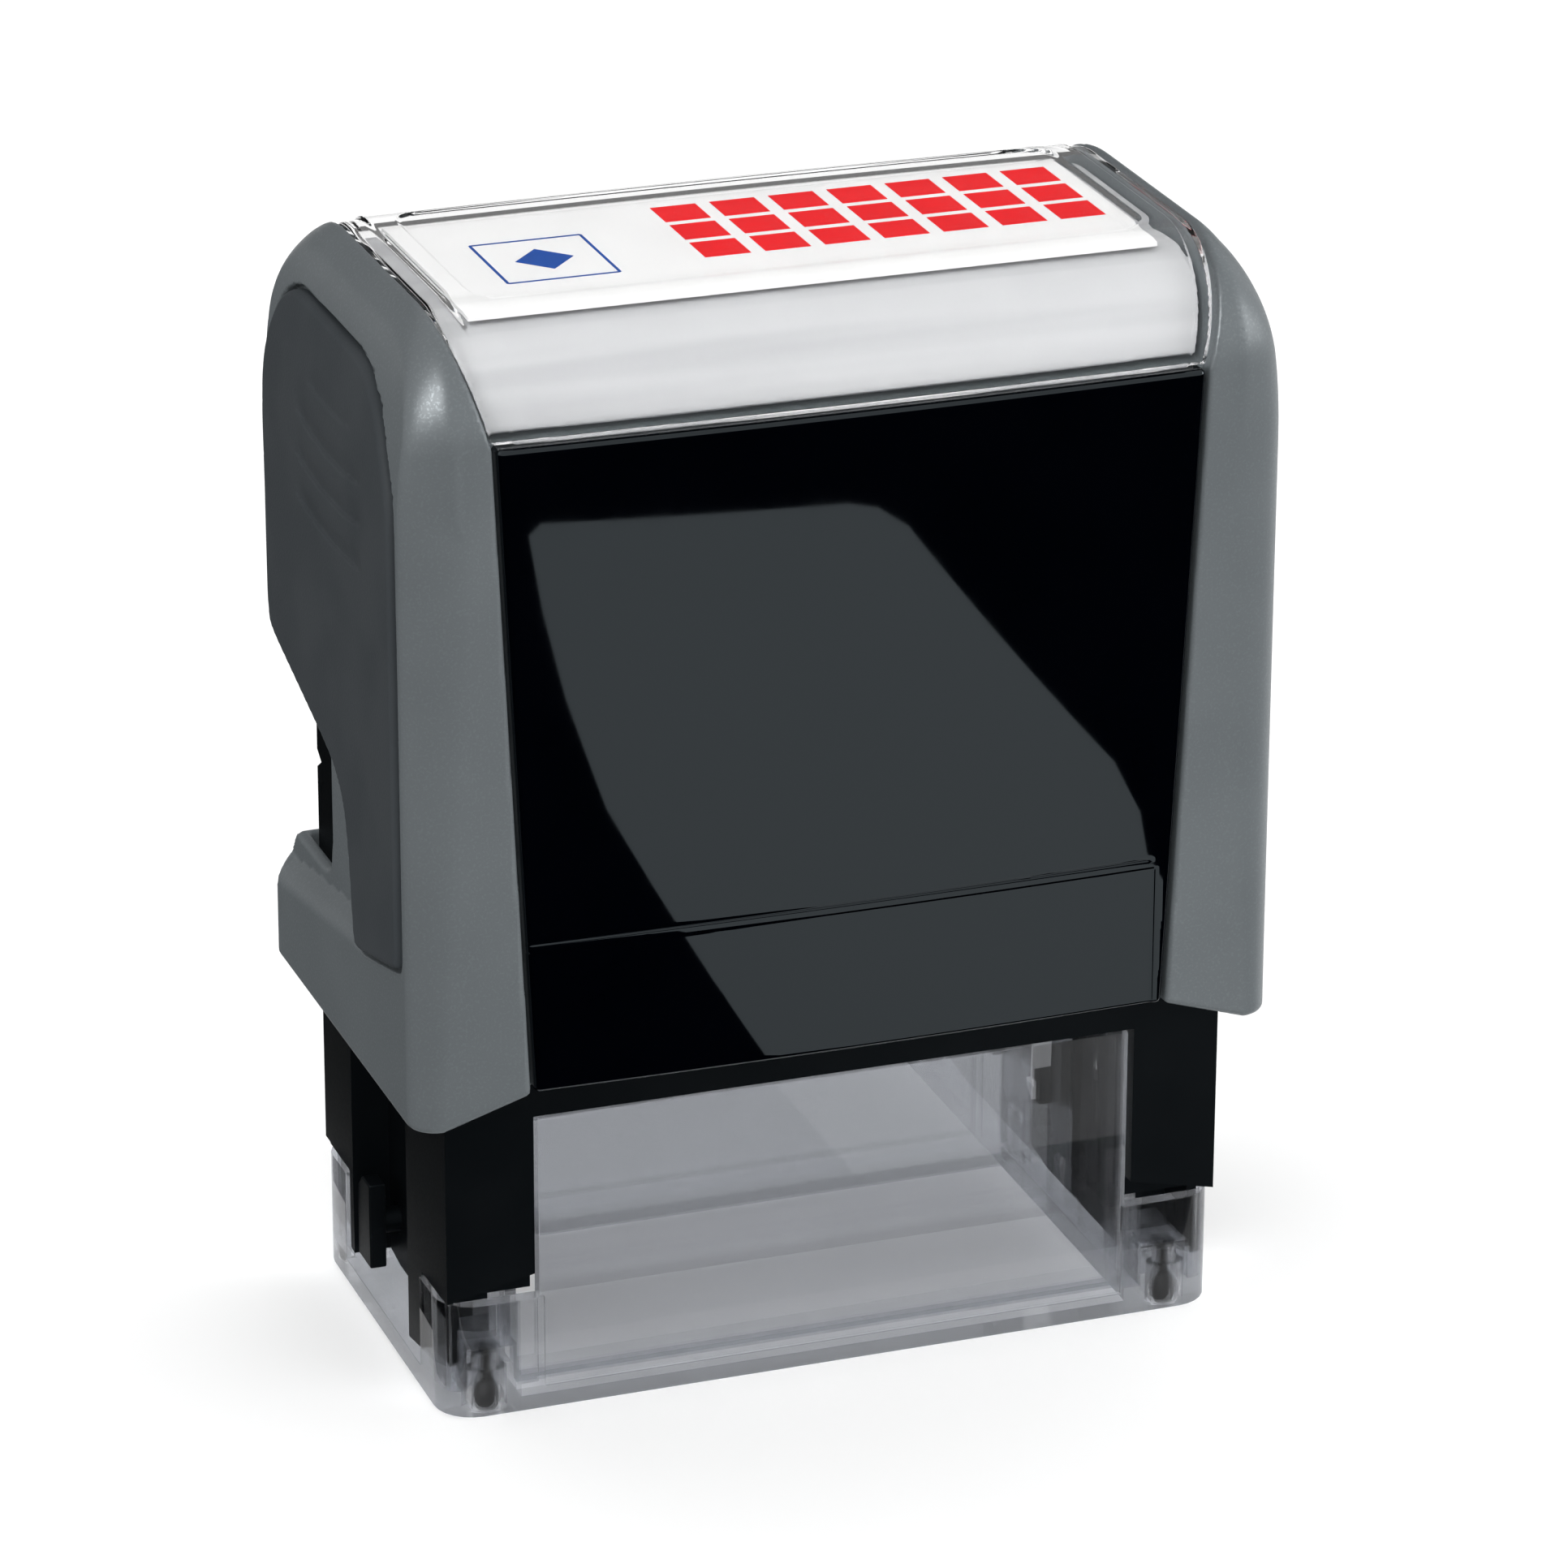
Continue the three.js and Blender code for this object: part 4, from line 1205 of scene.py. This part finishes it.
@dataclass
class Studio:
    """A white floor, soft light, and dark cards that no camera ray sees directly."""

    eye: tuple[float, float, float] = (-0.16850, -0.46920, 0.24336)
    azimuth: float = -19.90
    elevation: float = 22.10
    roll: float = 0.20
    lens: float = 164.63
    sensor: float = 36.0
    clip: Point = (0.01, 20.0)
    floor_reach: float = 2500.0
    card_reach: float = 1600.0
    card_level: float = 0.4
    card_edge_y: float = -26.0
    upper_left: Place = (-0.55, -0.42, 0.62)
    low_right: Place = (0.9, -0.4, 0.35)

    def build_camera(self) -> None:
        """Places the camera."""
        a, e, r = (math.radians(v) for v in (self.azimuth, self.elevation, self.roll))
        back = Vector((math.sin(a) * math.cos(e), -math.cos(a) * math.cos(e), math.sin(e)))
        level = Vector((math.cos(a), math.sin(a), 0))
        up = back.cross(level)
        right = level * math.cos(r) + up * math.sin(r)
        up = up * math.cos(r) - level * math.sin(r)
        data = bpy.data.cameras.new("camera")
        data.lens, data.sensor_width = self.lens, self.sensor
        data.clip_start, data.clip_end = self.clip
        camera = bpy.data.objects.new("camera", data)
        bpy.context.scene.collection.objects.link(camera)
        camera.matrix_world = Matrix.Translation(self.eye) @ Matrix((right, up, back)).transposed().to_4x4()
        bpy.context.scene.camera = camera

    def sheet(self, name: str, rings: list[list[Vector]], colour: Colour,
              glow: float = 0.0) -> Piece:
        """A flat patch inside one outline, or a flat ring between two.

        Args:
            name: name of the sheet.
            rings: one outline, or an inner and an outer one, in millimetres.
            colour: its colour.
            glow: strength of the white light that it gives off.

        Returns:
            The staged object.
        """
        bm = bmesh.new()
        made = [[bm.verts.new(p * MM) for p in ring] for ring in rings]
        if len(made) == 1:
            bm.faces.new(made[0])
        else:
            inner, outer = made
            for i in range(len(inner)):
                j = (i + 1) % len(inner)
                bm.faces.new((inner[i], outer[i], outer[j], inner[j]))
        mesh = bpy.data.meshes.new(name)
        bm.to_mesh(mesh)
        bm.free()
        recipe = Recipe(name)
        cloud = recipe.noise(recipe.place(), 0.01)
        dim = tuple(c * 0.99 for c in colour)
        paper = recipe.node("ShaderNodeBsdfPrincipled", values={
            "Base Color": recipe.mixed(cloud, colour, dim), "Roughness": 1.0, "Specular IOR Level": 0.0,
            "Emission Color": (1, 1, 1, 1), "Emission Strength": glow})
        mesh.materials.append(recipe.finished(paper))
        piece = new_object(name, mesh)
        return piece

    def build_floor(self) -> None:
        """Lays the floor, and dark cards before, beside and behind the stamp."""
        far, level = self.floor_reach, self.card_level
        corners = [Vector((x, y, 0)) for x, y in ((-far, -far), (far, -far), (far, far), (-far, far))]
        self.sheet("floor", [corners], (0.95, 0.95, 0.95), glow=0.08)
        centre = Vector((42, -120, 0))
        inner = [Vector((x, y, level)) for x, y in CARD_HOLE]
        outer = [centre + (p - centre).normalized() * self.card_reach for p in inner]
        for p in outer:
            p.y = min(p.y, self.card_edge_y)
            p.z = level
        card = self.sheet("dark_card", [inner, outer], NEAR_BLACK)
        back = [Vector((x, 700, z)) for x, z in ((-900, 60), (900, 60), (900, 700), (-900, 700))]
        behind = self.sheet("dark_back", [back], (0.12, 0.12, 0.12))
        beside = [Vector((x, y, level)) for x, y in ((-34.5, -25), (-34.5, 900), (-1200, 900), (-1200, -25))]
        for piece in (card, behind, self.sheet("dark_side", [beside], NEAR_BLACK)):
            piece.visible_camera = False
            piece.visible_diffuse = False
            piece.visible_transmission = piece is behind      # the clear base shows this one
            piece.visible_shadow = False

    def lamp(self, name: str, at: Place, aim: Place, size: float, power: float,
             gloss_only: bool = False) -> None:
        """Adds a square soft light that casts no shadow.

        Args:
            name: name of the light.
            at: its place, in metres.
            aim: the point it faces.
            size: its side, in metres.
            power: its power, in watts.
            gloss_only: whether it is seen in highlights alone.
        """
        data = bpy.data.lights.new(name, "AREA")
        data.shape, data.size, data.energy = "SQUARE", size, power
        data.use_shadow = False
        lamp = bpy.data.objects.new(name, data)
        bpy.context.scene.collection.objects.link(lamp)
        direction = Vector(aim) - Vector(at)
        turn: Quaternion = direction.to_track_quat("-Z", "Y")
        lamp.matrix_world = Matrix.Translation(at) @ turn.to_matrix().to_4x4()
        lamp.visible_diffuse = not gloss_only

    def build_light(self) -> None:
        """Sets the surrounding light and the lamps."""
        world = bpy.data.worlds.new("studio")
        bpy.context.scene.world = world
        world.use_nodes = True
        shade = world.node_tree.nodes["Background"]
        shade.inputs["Color"].default_value = (1, 1, 1, 1)
        shade.inputs["Strength"].default_value = 1.0
        self.lamp("key", self.upper_left, (-0.01, 0, 0.06), size=0.5, power=0.7)
        self.lamp("fill", self.low_right, (0.01, 0, 0.06), size=0.5, power=5.0)
        self.lamp("sheen", self.upper_left, (-0.01, 0, 0.06), size=0.4, power=10.0, gloss_only=True)
        bpy.context.scene.view_settings.view_transform = "Standard"
        bpy.context.scene.view_settings.look = "None"

    def build(self) -> None:
        """Builds the whole studio."""
        self.build_camera()
        self.build_floor()
        self.build_light()


def main() -> None:
    """Builds every part in order."""
    logging.basicConfig(level=logging.INFO, format="%(name)s %(message)s")
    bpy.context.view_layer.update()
    Housing(Form()).build()
    Base().build()
    Printing().build()
    Studio().build()


if __name__ == "__main__":
    main()
